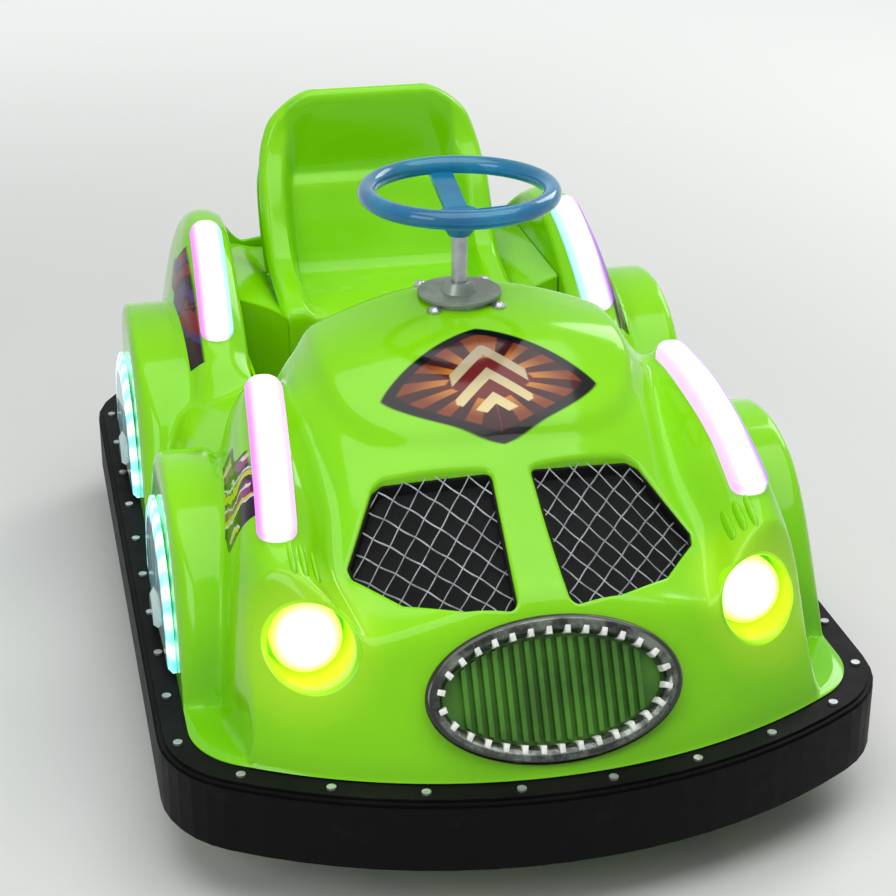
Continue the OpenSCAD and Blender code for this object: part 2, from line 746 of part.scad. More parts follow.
module drive_hub() {
    color("#b9bdc2") translate([0, column_y, drive_d / 2]) hub(drive_d, wheel_w, 12.2);
}

// running gear and equipment
module rear_axle() {
    color("#b9bdc2") {
        translate([-rear_x - 32, rear_y, rear_d / 2]) rotate([0, 90, 0])
            cylinder(h = 2 * rear_x + 64, d = 16, $fn = 36);
        both() translate([rear_x + wheel_w / 2 + 4, rear_y, rear_d / 2]) rotate([0, 90, 0])
            cylinder(h = 6, d = 30, $fn = 36);
    }
}
module rear_tyre_left() {
    color("#1b1b1d") translate([rear_x, rear_y, rear_d / 2]) tyre(rear_d, wheel_w);
}
module rear_tyre_right() {
    color("#1b1b1d") translate([-rear_x, rear_y, rear_d / 2]) tyre(rear_d, wheel_w);
}
module rear_hub_left() {
    color("#b9bdc2") translate([rear_x, rear_y, rear_d / 2]) hub(rear_d, wheel_w, 16.2);
}
module rear_hub_right() {
    color("#b9bdc2") translate([-rear_x, rear_y, rear_d / 2]) hub(rear_d, wheel_w, 16.2);
}
module batteries() {
    color("#2d3035") for (s = [-1, 1]) translate([s * 88 - 83, 330, floor_z + 4]) cube([166, 200, 170]);
}
module control_box() {
    color("#8b8f94") translate([-60, 556, floor_z + 4]) cube([120, 30, 90]);
}
module foot_pedal() {
    color("#3a3d41") translate([-230, -360, floor_z + 4]) {
        cube([80, 110, 6]);
        translate([5, 18, 5]) rotate([24, 0, 0]) cube([70, 96, 6]);
        translate([30, 88, 5]) cube([20, 8, 34]);
    }
}
module floor_lamp() {
    color("#101113") {
        translate([0, 66 - half_l, ring_low + 6]) cylinder(h = 36, d = 42, $fn = 48);
        translate([-16, 34.3 - half_l, frame_z + 4]) cube([32, 24.7, 5]);
    }
}

// node to draw
bumper_ring();
bumper_bolts();
chassis_frame();
front_body();
rear_body();
cockpit_liner();
floor_pan();
drive_cover();
seat_shell();
seat_box();
vent_trays();
vent_mesh_left();
vent_mesh_right();
grille_ring();
grille_slats();
headlamp_cups();
headlamp_lenses();
front_light_bars();
rear_light_bars();
front_wheel_discs();
rear_wheel_discs();
column_flange();
steering_column();
steering_wheel();
drive_fork();
drive_axle();
drive_motor();
drive_tyre();
drive_hub();
rear_axle();
rear_tyre_left();
rear_tyre_right();
rear_hub_left();
rear_hub_right();
batteries();
control_box();
foot_pedal();
floor_lamp();
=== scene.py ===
# Battery bumper car in the style of a small vintage roadster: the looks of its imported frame.
# Metres, nose towards -Y, the driver's left towards +X, floor at z = 0.

import math

import bpy
import numpy as np
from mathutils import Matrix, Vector


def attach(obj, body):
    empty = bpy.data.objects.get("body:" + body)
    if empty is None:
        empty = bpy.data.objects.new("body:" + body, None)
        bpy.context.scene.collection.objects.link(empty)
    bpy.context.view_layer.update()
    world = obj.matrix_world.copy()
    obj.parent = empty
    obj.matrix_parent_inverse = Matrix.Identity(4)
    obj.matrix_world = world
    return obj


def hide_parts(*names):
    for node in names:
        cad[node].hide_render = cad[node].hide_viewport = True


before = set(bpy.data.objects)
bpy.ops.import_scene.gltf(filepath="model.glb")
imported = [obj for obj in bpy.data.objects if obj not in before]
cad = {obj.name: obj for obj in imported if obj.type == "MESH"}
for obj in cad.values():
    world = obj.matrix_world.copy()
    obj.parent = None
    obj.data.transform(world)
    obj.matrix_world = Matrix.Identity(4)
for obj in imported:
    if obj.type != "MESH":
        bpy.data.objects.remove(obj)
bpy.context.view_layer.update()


def arithmetic(operation, turned=False):
    """A method of Wire that adds one Math node; turned puts the wire last."""

    def method(self, *others):
        return self.math(operation, *((*others, self) if turned else (self, *others)))

    return method


class Wire:
    """An output of a shader node. Arithmetic on wires adds Math nodes, and add() makes any other node."""

    __add__ = arithmetic("ADD")
    __sub__ = arithmetic("SUBTRACT")
    __rsub__ = arithmetic("SUBTRACT", True)
    __mul__ = arithmetic("MULTIPLY")
    __truediv__ = arithmetic("DIVIDE")
    __pow__ = arithmetic("POWER")
    __abs__ = arithmetic("ABSOLUTE")
    __gt__ = arithmetic("GREATER_THAN")
    sine = arithmetic("SINE")

    def __init__(self, tree, socket=None):
        self.tree = tree
        self.socket = socket

    def add(self, kind, settings=None, inputs=None, out=0):
        """A new node: settings are its properties, inputs its values or wires by name or number."""
        node = self.tree.nodes.new("ShaderNode" + kind)
        for name, value in (settings or {}).items():
            setattr(node, name, value)
        for key, value in (inputs or {}).items():
            if isinstance(value, Wire):
                self.tree.links.new(value.socket, node.inputs[key])
            else:
                node.inputs[key].default_value = value
        return Wire(self.tree, node.outputs[out])

    def math(self, operation, *values):
        return self.add("Math", {"operation": operation}, dict(enumerate(values)))

    def step(self, low, high):
        """0 at low and below, 1 at high and above, smooth between."""
        return self.add(
            "MapRange", {"interpolation_type": "SMOOTHSTEP"}, {0: self, 1: low, 2: high, 3: 0.0, 4: 1.0}
        )

    def mix(self, low, high):
        """Colour low where the wire is 0, high where it is 1."""
        return self.add("Mix", {"data_type": "RGBA"}, {0: self, 6: low, 7: high}, 2)

    def parts(self):
        """The x, y and z of a vector wire."""
        split = self.add("SeparateXYZ", {}, {0: self}).socket.node
        return [Wire(self.tree, split.outputs[i]) for i in range(3)]

    def noise(self, scale, detail=4.0, rough=0.55):
        return self.add(
            "TexNoise", {}, {"Vector": self, "Scale": scale, "Detail": detail, "Roughness": rough}
        )

    def bump(self, height, strength, distance):
        return self.add("Bump", {}, {"Height": height, "Strength": strength, "Distance": distance})


def colour(code):
    """A colour of the screen, such as "7fdc12", as the linear values that a shader takes."""
    part = np.array([int(code[i : i + 2], 16) for i in (0, 2, 4)]) / 255
    linear = np.where(part <= 0.04045, part / 12.92, ((part + 0.055) / 1.055) ** 2.4)
    return (*linear.tolist(), 1.0)


def material(name, values, wires=None):
    """A material of one Principled shader: values set on its sockets, wires(place) gives what varies."""
    made = bpy.data.materials.new(name)
    made.use_nodes = True
    shader = made.node_tree.nodes["Principled BSDF"]
    for socket, value in values.items():
        shader.inputs[socket].default_value = value
    if wires:
        place = Wire(made.node_tree).add("TexCoord", {}, {}, "Object")
        for socket, wire in wires(place).items():
            made.node_tree.links.new(wire.socket, shader.inputs[socket])
    return made


# metres in a millimetre
MM = 0.001


def piece(name, points, faces, finish, slot, stands_for=()):
    """A piece of the car's body from an array of points in mm and arrays of faces."""
    mesh = bpy.data.meshes.new(name)
    rows = [face for group in faces for face in np.asarray(group).tolist()]
    mesh.from_pydata((np.asarray(points, float) * MM).tolist(), [], rows)
    mesh.validate()
    mesh.polygons.foreach_set("use_smooth", np.ones(len(mesh.polygons), bool))
    mesh.update()
    mesh.set_sharp_from_angle(angle=math.radians(40))
    made = bpy.data.objects.new(name, mesh)
    bpy.context.scene.collection.objects.link(made)
    mesh.materials.append(finish)
    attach(made, "car")
    if stands_for:
        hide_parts(*stands_for)


def grid_faces(rows, columns, close_rows=False, close_columns=False):
    """Quads of a grid of points numbered row by row."""
    i = np.arange(rows if close_rows else rows - 1)[:, None]
    j = np.arange(columns if close_columns else columns - 1)[None, :]
    a = i * columns + j
    b = i * columns + (j + 1) % columns
    c = ((i + 1) % rows) * columns + (j + 1) % columns
    d = ((i + 1) % rows) * columns + j
    return np.stack([a, b, c, d], -1).reshape(-1, 4)


def halves(quads):
    """Each quad cut into two triangles."""
    return np.concatenate([quads[:, [0, 1, 2]], quads[:, [0, 2, 3]]])


def finish(name, light, dark, scale, rough, bump=0.1, grain=300.0, **values):
    """A used surface: two near colours in clouds, roughness that goes with them, a fine grain."""

    def wires(place):
        cloud = place.noise(scale, 5.0, 0.6)
        return {
            "Base Color": cloud.step(0.35, 0.65).mix(colour(light), colour(dark)),
            "Roughness": cloud * 0.24 + (rough - 0.12),
            "Normal": place.bump(place.noise(grain, 3.0), bump, 0.001),
        }

    return material(name, {key.replace("_", " "): value for key, value in values.items()}, wires)


def finish_node(names, finish):
    """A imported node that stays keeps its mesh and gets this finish."""
    for name in names:
        mesh = cad[name].data
        mesh.materials.clear()
        mesh.materials.append(finish)


def circle(n):
    """n angles at even distances round a circle."""
    return np.linspace(0, 2 * math.pi, n, endpoint=False)


def unit(vectors):
    """Vectors, or rows of them, brought to length 1."""
    return vectors / np.maximum(np.linalg.norm(vectors, axis=-1, keepdims=True), 1e-9)


def join(*parts):
    """One piece from several pairs of points and face groups."""
    points = []
    groups = []
    start = 0
    for some, faces in parts:
        some = np.asarray(some, float).reshape(-1, 3)
        points.append(some)
        groups += [np.asarray(group) + start for group in faces]
        start += len(some)
    return np.concatenate(points), groups


def mirrored(part):
    """The mirror image on the right of a part of the driver's left."""
    points, faces = part
    return points.reshape(-1, 3) * [-1, 1, 1], [group[:, ::-1] for group in faces]


def both(part):
    """A part of the driver's left together with its mirror image on the right."""
    return join(part, mirrored(part))


def loft(grid, ring=False):
    """Skin over a grid of closed rows: a tube with flat ends, or a ring."""
    rows, columns = grid.shape[:2]
    faces = [grid_faces(rows, columns, ring, True)]
    if not ring:
        faces.append(np.arange(columns)[None, ::-1])
        faces.append((rows - 1) * columns + np.arange(columns)[None])
    return grid.reshape(-1, 3), faces


def turned(profile, n):
    """Solid of revolution of a line of (radius, height) points that starts and ends on the axis."""
    q = circle(n)
    r, h = np.asarray(profile, float)[1:-1].T
    grid = np.stack([np.cos(q)[:, None] * r, np.sin(q)[:, None] * r, np.broadcast_to(h, (n, len(r)))], -1)
    m = len(r)
    points = np.concatenate([grid.reshape(-1, 3), [[0, 0, profile[0][1]], [0, 0, profile[-1][1]]]])
    i = np.arange(n)
    after = (i + 1) % n
    first = np.stack([np.full(n, n * m), after * m, i * m], 1)
    last = np.stack([np.full(n, n * m + 1), i * m + m - 1, after * m + m - 1], 1)
    return points, [grid_faces(n, m, True), first, last]


def stood(part, at, tilt):
    """A part drawn on the xy plane, stood up to face the nose at a place and leaned back by tilt."""
    points, faces = part
    a = math.pi / 2 - tilt
    x, y, z = np.asarray(points, float).reshape(-1, 3).T
    up = np.stack([x, y * math.cos(a) - z * math.sin(a), y * math.sin(a) + z * math.cos(a)], 1)
    return up + np.asarray(at, float), faces


# Moulded shells of the nose and the tail. On the real car they are glass-fibre mouldings with a
# glossy lime gelcoat, laid up in one mould each and screwed down on the ring's flange.
# All sizes here are in mm, and their height formula is the solid's.

# rubber ring: half width, half length, corner radius
HALF_W = 485.0
HALF_L = 750.0
CORNER_R = 150.0
# the shells stand this far inside the ring's outline, at this height and with these slopes
LIP = 40.0
FOOT = 187.0
SIDE_SLOPE = 60.0
NOSE_SLOPE = 1.73
TAIL_SLOPE = 2.8
# seam between the shells, and the radii of both ends in plan
SEAM_Y = 62.0
NOSE_R = 780.0
TAIL_R = 1400.0
# heights of cowl, wings and door sills, the wings' place and the pods' radii and places
COWL = 612.0
WING_X = 304.0
WING_F = 528.0
WING_R = 560.0
SILL = 400.0
POD_R = 238.0
POD_R_REAR = 256.0
POD_F = -210.0
POD_B = 342.0
# height of the pods' centres, and the line inside which the pods fall towards the wings
POD_Z = 190.0
POD_IN = 374.0
# distance from the middle at which the valley beside the wings starts
VALLEY_X = 200.0
# egg-shaped raised middle of the hood: half width, where its round end starts and how long that is
MOUND_X = 226.0
MOUND_Y = -150.0
MOUND_L = 230.0
MOUND_H = 12.0
# reach of the joins: hood to wing, pod to sill, and these two to one another
JOIN_WING = 30.0
JOIN_SILL = 14.0
JOIN_SIDE = 28.0
# where the sides start to turn into the sloping ends, and over which length
END_Y = 430.0
END_RUN = 130.0
# rounding at the rim: on the sides, beside the pods and at the ends
ROUND_SIDE = 60.0
ROUND_POD = 22.0
ROUND_END = 16.0
# thickness of the skins drawn here, and spacing of the grids' rows and points in a row
SHEET = 4.0
ROW_STEP = 5.0
COLUMNS = 150

# middle line of nose and hood: place, height, fall to the sides, valley beside the wings
HOOD = np.array([
    [-712, 345, 0.0006, 0.000], [-650, 366, 0.0008, 0.000], [-586, 384, 0.0008, 0.000],
    [-500, 428, 0.0009, 0.000], [-421, 478, 0.0011, 0.001], [-393, 494, 0.0011, 0.003],
    [-300, COWL - 68, 0.0009, 0.010], [-218, COWL - 30, 0.0007, 0.012], [-120, COWL - 13, 0.0009, 0.012],
    [-66, COWL - 15, 0.0014, 0.010], [0, COWL - 90, 0.0030, 0.008], [70, 200, 0.0030, 0.000],
])
# crests of the front and rear wings: place, height, shift outwards
CREST_F = np.array([
    [-660, 388, -8], [-575, 402, -2], [-490, 431, 12], [-400, WING_F - 43, 5], [-300, WING_F - 13, -4],
    [-200, WING_F, -12], [-140, WING_F - 22, -14], [-80, 438, -14], [-30, 360, -14], [40, 200, -14],
])
CREST_R = np.array([
    [90, 200, 6], [130, 370, 6], [201, 440, 5], [300, WING_R - 50, 0], [400, WING_R - 5, -4],
    [480, WING_R, -8], [560, WING_R - 20, -10], [640, 490, -14], [700, 420, -18], [720, 400, -18],
])
# middle line of the tail: place, height, fall to the sides, valley
TAIL = np.array([
    [100, 150, 0.0010, 0], [300, 200, 0.0010, 0], [520, 486, 0.0003, 0], [600, 480, 0.0003, 0],
    [650, 474, 0.0006, 0], [690, 450, 0.0010, 0], [720, 410, 0.0010, 0],
])


def curve(t, table, column=1):
    """Smooth curve through a table's rows: cubic pieces whose slopes come from the neighbours."""
    place = table[:, 0]
    value = table[:, column]
    inner = (value[2:] - value[:-2]) / (place[2:] - place[:-2])
    ends = np.diff(value) / np.diff(place)
    slope = np.concatenate([ends[:1], inner, ends[-1:]])
    i = np.clip(np.searchsorted(place, t, side="right") - 1, 0, len(place) - 2)
    h = place[i + 1] - place[i]
    u = np.clip((t - place[i]) / h, 0, 1)
    bend = h * u * (1 - u) * (slope[i] * (1 - u) - slope[i + 1] * u)
    return value[i] + (value[i + 1] - value[i]) * smooth(u) + bend


def soft_max(a, b, k):
    """The higher of two heights, joined by a round where they are less than k apart."""
    return np.maximum(a, b) + np.maximum(k - abs(a - b), 0) ** 2 / (4 * k)


def soft_min(a, b, k):
    """The lower of two heights, joined in the same way."""
    return -soft_max(-a, -b, k)


def smooth(t):
    """0 to 1 as t goes from 0 to 1, level at both ends."""
    t = np.clip(t, 0, 1)
    return t * t * (3 - 2 * t)


def outer_fall(d):
    """Fall of a wing's outer side at d from its crest: steeper and steeper."""
    return np.where(d > 0, 0.012 * d**2 + 4.5e-6 * np.maximum(d, 0) ** 4, 0)


def body_line(x, y, table):
    """A middle line that falls gently to the wings and steeply outside them."""
    side = np.maximum(0, abs(x) - VALLEY_X)
    middle = curve(y, table) - curve(y, table, 2) * x * x - curve(y, table, 3) * side * side
    return middle - outer_fall(abs(x) - WING_X)


def wing(x, y, crest):
    """Crest height less a fall that is gentle on top and steep at the wing's outer side."""
    d = abs(x) - WING_X - curve(y, crest, 2)
    return curve(y, crest) - np.where(d > 0, outer_fall(d), 0.012 * d**2)


def pod(x, y, middle, r):
    """Upper half of a wheel-shaped side pod, with a soft fall towards the wing."""
    r2 = np.maximum(r**2 - (y - middle) ** 2, 0)
    d = np.maximum(0, POD_IN - abs(x))
    return POD_Z + np.sqrt(r2) - 0.03 * d**2


def sill(x, y):
    """Door sill: crowned across, falling outside it and away from the seam."""
    fall = 40 * (abs(x) / 360) ** 4
    d = np.maximum(0, abs(x) - 370)
    g = np.maximum(0, abs(y - SEAM_Y) - 150)
    return SILL - fall - 0.05 * d**2 - 0.02 * g**2


def mound(x, y):
    """Egg-shaped raised middle of the hood, wide at the cowl and round at the windows."""
    power = 2.9
    d = ((abs(x) / MOUND_X) ** power + (np.maximum(0, MOUND_Y - y) / MOUND_L) ** power) ** (1 / power)
    return MOUND_H * smooth((1.03 - d) / 0.09)


def front_top(x, y):
    """Hood joined with the front wings, and then with the front pods and the sills."""
    hood = body_line(x, y, HOOD) + mound(x, y)
    middle = soft_max(hood, wing(x, y, CREST_F), JOIN_WING)
    return soft_max(middle, soft_max(pod(x, y, POD_F, POD_R), sill(x, y), JOIN_SILL), JOIN_SIDE)


def rear_top(x, y):
    """Tail joined with the rear wings, and then with the rear pods and the sills."""
    middle = soft_max(body_line(x, y, TAIL), wing(x, y, CREST_R), JOIN_WING)
    return soft_max(middle, soft_max(pod(x, y, POD_B, POD_R_REAR), sill(x, y), JOIN_SILL), JOIN_SIDE)


def soften(top, x, y):
    """Mean of a height formula at a point and 5 mm off on both diagonals, which rounds its creases."""
    around = sum(top(x + a, y + b) for a in (-5, 5) for b in (-5, 5))
    return top(x, y) / 2 + around / 8


def skin(x, y, d, front):
    """Height of a shell: its top, no higher than the slope from the rim d away, rounded at the rim."""
    top = soften(front_top if front else rear_top, x, y)
    end = smooth((abs(y) - END_Y) / END_RUN)
    side_lean = 1 / SIDE_SLOPE
    end_lean = 1 / (NOSE_SLOPE if front else TAIL_SLOPE)
    lean = side_lean + (end_lean - side_lean) * end
    top = soft_min(top, FOOT + 12 * (1 - end) + d / lean, 24)
    upright = np.exp(-(((y - (POD_F if front else POD_B)) / 190) ** 4))
    power = 2.3 + 2.7 * upright
    reach = (ROUND_SIDE - (ROUND_SIDE - ROUND_POD) * upright) * (1 - end) + ROUND_END * end
    t = np.clip(d / reach, 0, 1)
    rise = (1 - (1 - t) ** power) ** (1 / power)
    return FOOT + (np.maximum(top, FOOT + 2) - FOOT) * rise


def even_points(line, count, closed=False):
    """Points at even distances along a line; count(length) says how many."""
    length = np.concatenate([[0], np.cumsum(np.linalg.norm(np.diff(line, axis=0), axis=1))])
    even = np.linspace(0, length[-1], count(length[-1]), endpoint=not closed)
    return np.stack([np.interp(even, length, line[:, k]) for k in (0, 1)], 1)


def rim_line(end_r, start, step):
    """Points step apart along a shell's rim: side, corner arc, end arc, corner arc, side."""
    mid = HALF_L - end_r + math.sqrt((end_r - CORNER_R) ** 2 - (HALF_W - CORNER_R) ** 2)
    turn = math.asin((HALF_W - CORNER_R) / (end_r - CORNER_R))
    q = np.linspace(0, math.pi / 2 - turn, 300)
    r = CORNER_R - LIP
    corner = np.stack([HALF_W - CORNER_R + r * np.cos(q), mid + r * np.sin(q)], 1)
    q = np.linspace(math.pi / 2 - turn, math.pi / 2, 400)
    arc = np.stack([(end_r - LIP) * np.cos(q), HALF_L - end_r + (end_r - LIP) * np.sin(q)], 1)
    side = np.stack([np.full(300, HALF_W - LIP), np.linspace(start, mid, 300)], 1)
    half = np.concatenate([side, corner[1:], arc[1:]])
    line = np.concatenate([half, half[-2::-1] * [-1, 1]])
    return even_points(line, lambda length: int(length / step) | 1)


def row_mean(rows, n):
    """Mean of each row and the n rows on both sides of it."""
    total = np.cumsum(np.pad(rows, ((n + 1, n), (0, 0)), "edge"), 0)
    return (total[2 * n + 1 :] - total[: -2 * n - 1]) / (2 * n + 1)


def spine_place(y):
    """Where on the middle line the grid row ends that starts on the rim at y."""
    start = 400.0
    run = 80.0
    share = np.clip((y - start) / (HALF_L - LIP - start), 0, 1)
    return np.where(y < start, y, start + run * np.sin(np.pi / 2 * share))


def shell_grid(front):
    """Rows from the rim to the middle line, fanned round the end, points even along each row."""
    sign = -1 if front else 1
    rim = rim_line(NOSE_R if front else TAIL_R, sign * SEAM_Y, ROW_STEP)
    middle = np.stack([np.zeros(len(rim)), spine_place(rim[:, 1])], 1)
    reach = np.linalg.norm(middle - rim, axis=1)
    t = np.linspace(0, 1, 420) ** 1.6
    dense = rim[:, None] + (middle - rim)[:, None] * t[None, :, None]
    z = skin(dense[..., 0], sign * dense[..., 1], reach[:, None] * t, front)
    run = np.hypot(np.diff(z, axis=1), reach[:, None] * np.diff(t))
    run = np.concatenate([np.zeros((len(rim), 1)), np.cumsum(run, 1)], 1)
    run = row_mean(row_mean(run / run[:, -1:], 9), 9)
    goal = np.linspace(0, 1, COLUMNS)
    k = np.clip((run[:, None, :] <= goal[None, :, None]).sum(-1) - 1, 0, len(t) - 2)
    low = np.take_along_axis(run, k, 1)
    high = np.take_along_axis(run, k + 1, 1)
    s = t[k] + (t[k + 1] - t[k]) * np.clip((goal - low) / np.maximum(high - low, 1e-9), 0, 1)
    flat = rim[:, None] + (middle - rim)[:, None] * s[..., None]
    return np.stack([flat[..., 0], sign * flat[..., 1], reach[:, None] * s], -1)


def rim_distance(x, y, front):
    """Distance from a shell's rim along the row of its grid that runs through each point."""
    ax = abs(x)
    ay = -y if front else y
    rim = rim_line(NOSE_R if front else TAIL_R, 300.0, 8.0)
    rim = rim[: len(rim) // 2 + 1]
    row = unit(np.stack([-rim[:, 0], spine_place(rim[:, 1]) - rim[:, 1]], 1))
    side = row[:, 0] * (ay[:, None] - rim[:, 1]) - row[:, 1] * (ax[:, None] - rim[:, 0])
    k = np.clip((side < 0).sum(1) - 1, 0, len(rim) - 2)
    low = np.take_along_axis(side, k[:, None], 1)[:, 0]
    high = np.take_along_axis(side, k[:, None] + 1, 1)[:, 0]
    t = np.clip(low / np.where(abs(low - high) < 1e-9, 1, low - high), 0, 1)[:, None]
    foot = rim[k] * (1 - t) + rim[k + 1] * t
    fan = np.hypot(ax - foot[:, 0], ay - foot[:, 1])
    return np.where(ay < 320, HALF_W - LIP - ax, fan)


def height(x, y):
    """Height of the outer skin of the nose shell, or behind the seam of the tail shell."""
    shape = np.shape(x)
    x = np.ravel(x)
    y = np.ravel(np.broadcast_to(y, shape))
    front = skin(x, y, np.maximum(rim_distance(x, y, True), 0), True)
    rear = skin(x, y, np.maximum(rim_distance(x, y, False), 0), False)
    return np.where(y < SEAM_Y, front, rear).reshape(shape)


def rounded_outline(corners, radius, step):
    """Even points along a polygon with corners rounded by arcs, and the outward normals."""
    u = unit(np.roll(corners, 1, axis=0) - corners)
    v = unit(np.roll(corners, -1, axis=0) - corners)
    half = (np.arccos(np.clip((u * v).sum(1), -1, 1)) / 2)[:, None]
    centre = corners + unit(u + v) * radius / np.sin(half)
    start = corners + u * radius / np.tan(half) - centre
    end = corners + v * radius / np.tan(half) - centre
    turn = (math.pi - 2 * half)[:, None]
    t = np.linspace(0, 1, 13)[None, :, None]
    arc = (np.sin((1 - t) * turn) * start[:, None] + np.sin(t * turn) * end[:, None]) / np.sin(turn)
    line = (centre[:, None] + arc).reshape(-1, 2)
    line = even_points(np.concatenate([line, line[:1]]), lambda length: int(length / step), True)
    side = unit(np.roll(line, -1, axis=0) - np.roll(line, 1, axis=0))
    area = np.sum(line[:, 0] * np.roll(line[:, 1], -1) - line[:, 1] * np.roll(line[:, 0], -1))
    return line, np.stack([side[:, 1], -side[:, 0]], 1) * np.sign(area)


def outside(x, y, line, normal, reach):
    """Distance outside a closed line of points, exact near it and clipped at reach."""
    flat = np.stack([np.ravel(x), np.ravel(y)], 1)
    low = line.min(0) - reach
    high = line.max(0) + reach
    near = np.flatnonzero(((flat > low) & (flat < high)).all(1))
    result = np.full(len(flat), float(reach))
    gap = flat[near][:, None] - line[None]
    k = (gap**2).sum(-1).argmin(1)
    result[near] = np.clip((gap[np.arange(len(near)), k] * normal[k]).sum(1), -reach, reach)
    return result.reshape(np.shape(x))


# cockpit opening: half width, front and rear edge, corner radius
OPEN_X = 262.0
OPEN_FRONT = -66.0
OPEN_REAR = 612.0
OPEN_R = 70.0
# corners of the hood window on the driver's left, in plan
WINDOW = np.array([
    [26, -420], [166, -391], [181, -398], [229, -484], [226, -500], [172, -562], [100, -596], [34, -604],
], float)
# grille's oval: middle, lean, width and height
GRILLE = np.array([0, -656.0, 280.0])
GRILLE_TILT = math.radians(30)
GRILLE_W = 332.0
GRILLE_H = 186.0
# headlamp on the driver's left: middle, lean, diameters of lens and pocket
LAMP = np.array([292.0, -548.0, 326.0])
LAMP_TILT = math.radians(12)
LAMP_D = 92.0
POCKET_D = LAMP_D + 14
# light bars: radius along them, width; and middle place, height, pitch, half turn and yaw in degrees
BAR_R = 515.0
BAR_W = 52.0
BAR_F = (-339.5, 503.5, 17.0, 15.0, 5.0)
BAR_B = (306.0, 508.5, 29.0, 11.0, 2.5)
# how far a bar's edge covers the skin round its slot
COVER = 9.0
# steering column: place on the cowl, and the hole for it
COLUMN_Y = -120.0
COLUMN_HOLE = 108.0
# radius of the turned-in edges round the cockpit, the windows and the lamp pockets
LIP_R = 6.0
# a distance that counts as well outside every hole
FAR = 99.0
OPENING = np.array([
    [-OPEN_X, OPEN_FRONT], [OPEN_X, OPEN_FRONT], [OPEN_X, OPEN_REAR], [-OPEN_X, OPEN_REAR],
])
opening_line, opening_out = rounded_outline(OPENING, OPEN_R, 5.0)
window_line, window_out = rounded_outline(WINDOW, 12.0, 3.0)


def in_plane(x, y, z, at, tilt):
    """Coordinates across and up a face that stands at a place and leans back by tilt."""
    return x - at[0], (y - at[1]) * math.sin(tilt) + (z - at[2]) * math.cos(tilt)


def bar_edge(x, y, z, bar):
    """Distance outside the slot of a light bar, measured along its arc."""
    y0, z0, pitch, half, yaw = bar
    p = math.radians(pitch)
    turn = math.radians(yaw)
    dx = abs(x) - WING_X
    side = dx * math.cos(turn) + (y - y0) * math.sin(turn)
    dy = (y - y0) * math.cos(turn) - dx * math.sin(turn) - BAR_R * math.sin(p)
    dz = z - z0 + BAR_R * math.cos(p)
    s = BAR_R * np.arctan2(dy * math.cos(p) + dz * math.sin(p), dz * math.cos(p) - dy * math.sin(p))
    over = np.maximum(abs(s) - BAR_R * math.radians(half), 0)
    return np.hypot(over, side) - BAR_W / 2 + COVER


def front_cut(x, y, z):
    """Negative where the nose shell is open: cockpit, windows, grille, lamps, light bars, column."""
    u, v = in_plane(x, y, z, GRILLE, GRILLE_TILT)
    grille = (np.hypot(u / (GRILLE_W / 2 - 6), v / (GRILLE_H / 2 - 6)) - 1) * (GRILLE_H / 2)
    u, v = in_plane(abs(x), y, z, LAMP, LAMP_TILT)
    lamp = np.hypot(u, v) - POCKET_D / 2 - LIP_R
    return np.minimum.reduce([
        outside(x, y, opening_line, opening_out, 60) - LIP_R,
        outside(abs(x), y, window_line, window_out, 60) - LIP_R,
        np.where(y < GRILLE[1] + 96, grille, FAR),
        np.where(y < LAMP[1] + 98, lamp, FAR),
        bar_edge(x, y, z, BAR_F),
        np.hypot(x, y - COLUMN_Y) - COLUMN_HOLE / 2,
    ])


def rear_cut(x, y, z):
    """Negative where the tail shell is open: cockpit and light bars."""
    return np.minimum(outside(x, y, opening_line, opening_out, 60) - LIP_R, bar_edge(x, y, z, BAR_B))


def edge_pairs(faces):
    """The three edges of each triangle."""
    return np.concatenate([faces[:, [0, 1]], faces[:, [1, 2]], faces[:, [2, 0]]])


def trim(plan, faces, f):
    """Moves the points next to the line where f is 0 onto it and drops the faces below it."""
    edges = np.unique(np.sort(edge_pairs(faces), 1), axis=0)
    a, b = edges[:, 0], edges[:, 1]
    crossing = f[a] * f[b] < 0
    a, b = a[crossing], b[crossing]
    t = f[a] / (f[a] - f[b])
    near = np.where(t < 0.5, a, b)
    far = np.where(t < 0.5, b, a)
    t = np.minimum(t, 1 - t)
    order = np.argsort(-t, kind="stable")
    moved = plan.copy()
    moved[near[order]] = plan[near[order]] + (plan[far[order]] - plan[near[order]]) * t[order, None]
    f[near] = 0
    return moved, faces[f[faces].min(1) >= 0]


def face_normals(points, faces):
    """Normals of triangles, as long as twice their areas."""
    a, b, c = (points[faces[:, k]] for k in range(3))
    return np.cross(b - a, c - a)


def thicken(points, faces):
    """A closed skin: the sheet, its copy below along the normals, and a band at each edge."""
    used, faces = np.unique(faces, return_inverse=True)
    faces = faces.reshape(-1, 3)
    points = points[used]
    normal = face_normals(points, faces)
    total = np.zeros_like(points)
    for k in range(3):
        np.add.at(total, faces[:, k], normal)
    edges = edge_pairs(faces)
    first, count = np.unique(np.sort(edges, 1), axis=0, return_index=True, return_counts=True)[1:]
    border = edges[first[count == 1]]
    n = len(points)
    band = np.stack([border[:, 1], border[:, 0], border[:, 0] + n, border[:, 1] + n], 1)
    return np.concatenate([points, points - unit(total) * SHEET]), [faces, faces[:, ::-1] + n, band]


def shell_mesh(front):
    """Grid of a shell with its holes cut, lifted to the skin's height and thickened."""
    plan = shell_grid(front)
    quads = grid_faces(*plan.shape[:2])
    faces = halves(quads[:, ::-1] if front else quads)[:, ::-1]
    x, y, d = plan.reshape(-1, 3).T
    cut = (front_cut if front else rear_cut)(x, y, skin(x, y, d, front))
    plan, faces = trim(plan.reshape(-1, 3), faces, cut)
    x, y, d = plan.T
    points = np.column_stack([x, y, skin(x, y, d, front)])
    area = np.linalg.norm(face_normals(points, faces), axis=1)
    return thicken(points, faces[area > 1e-4])


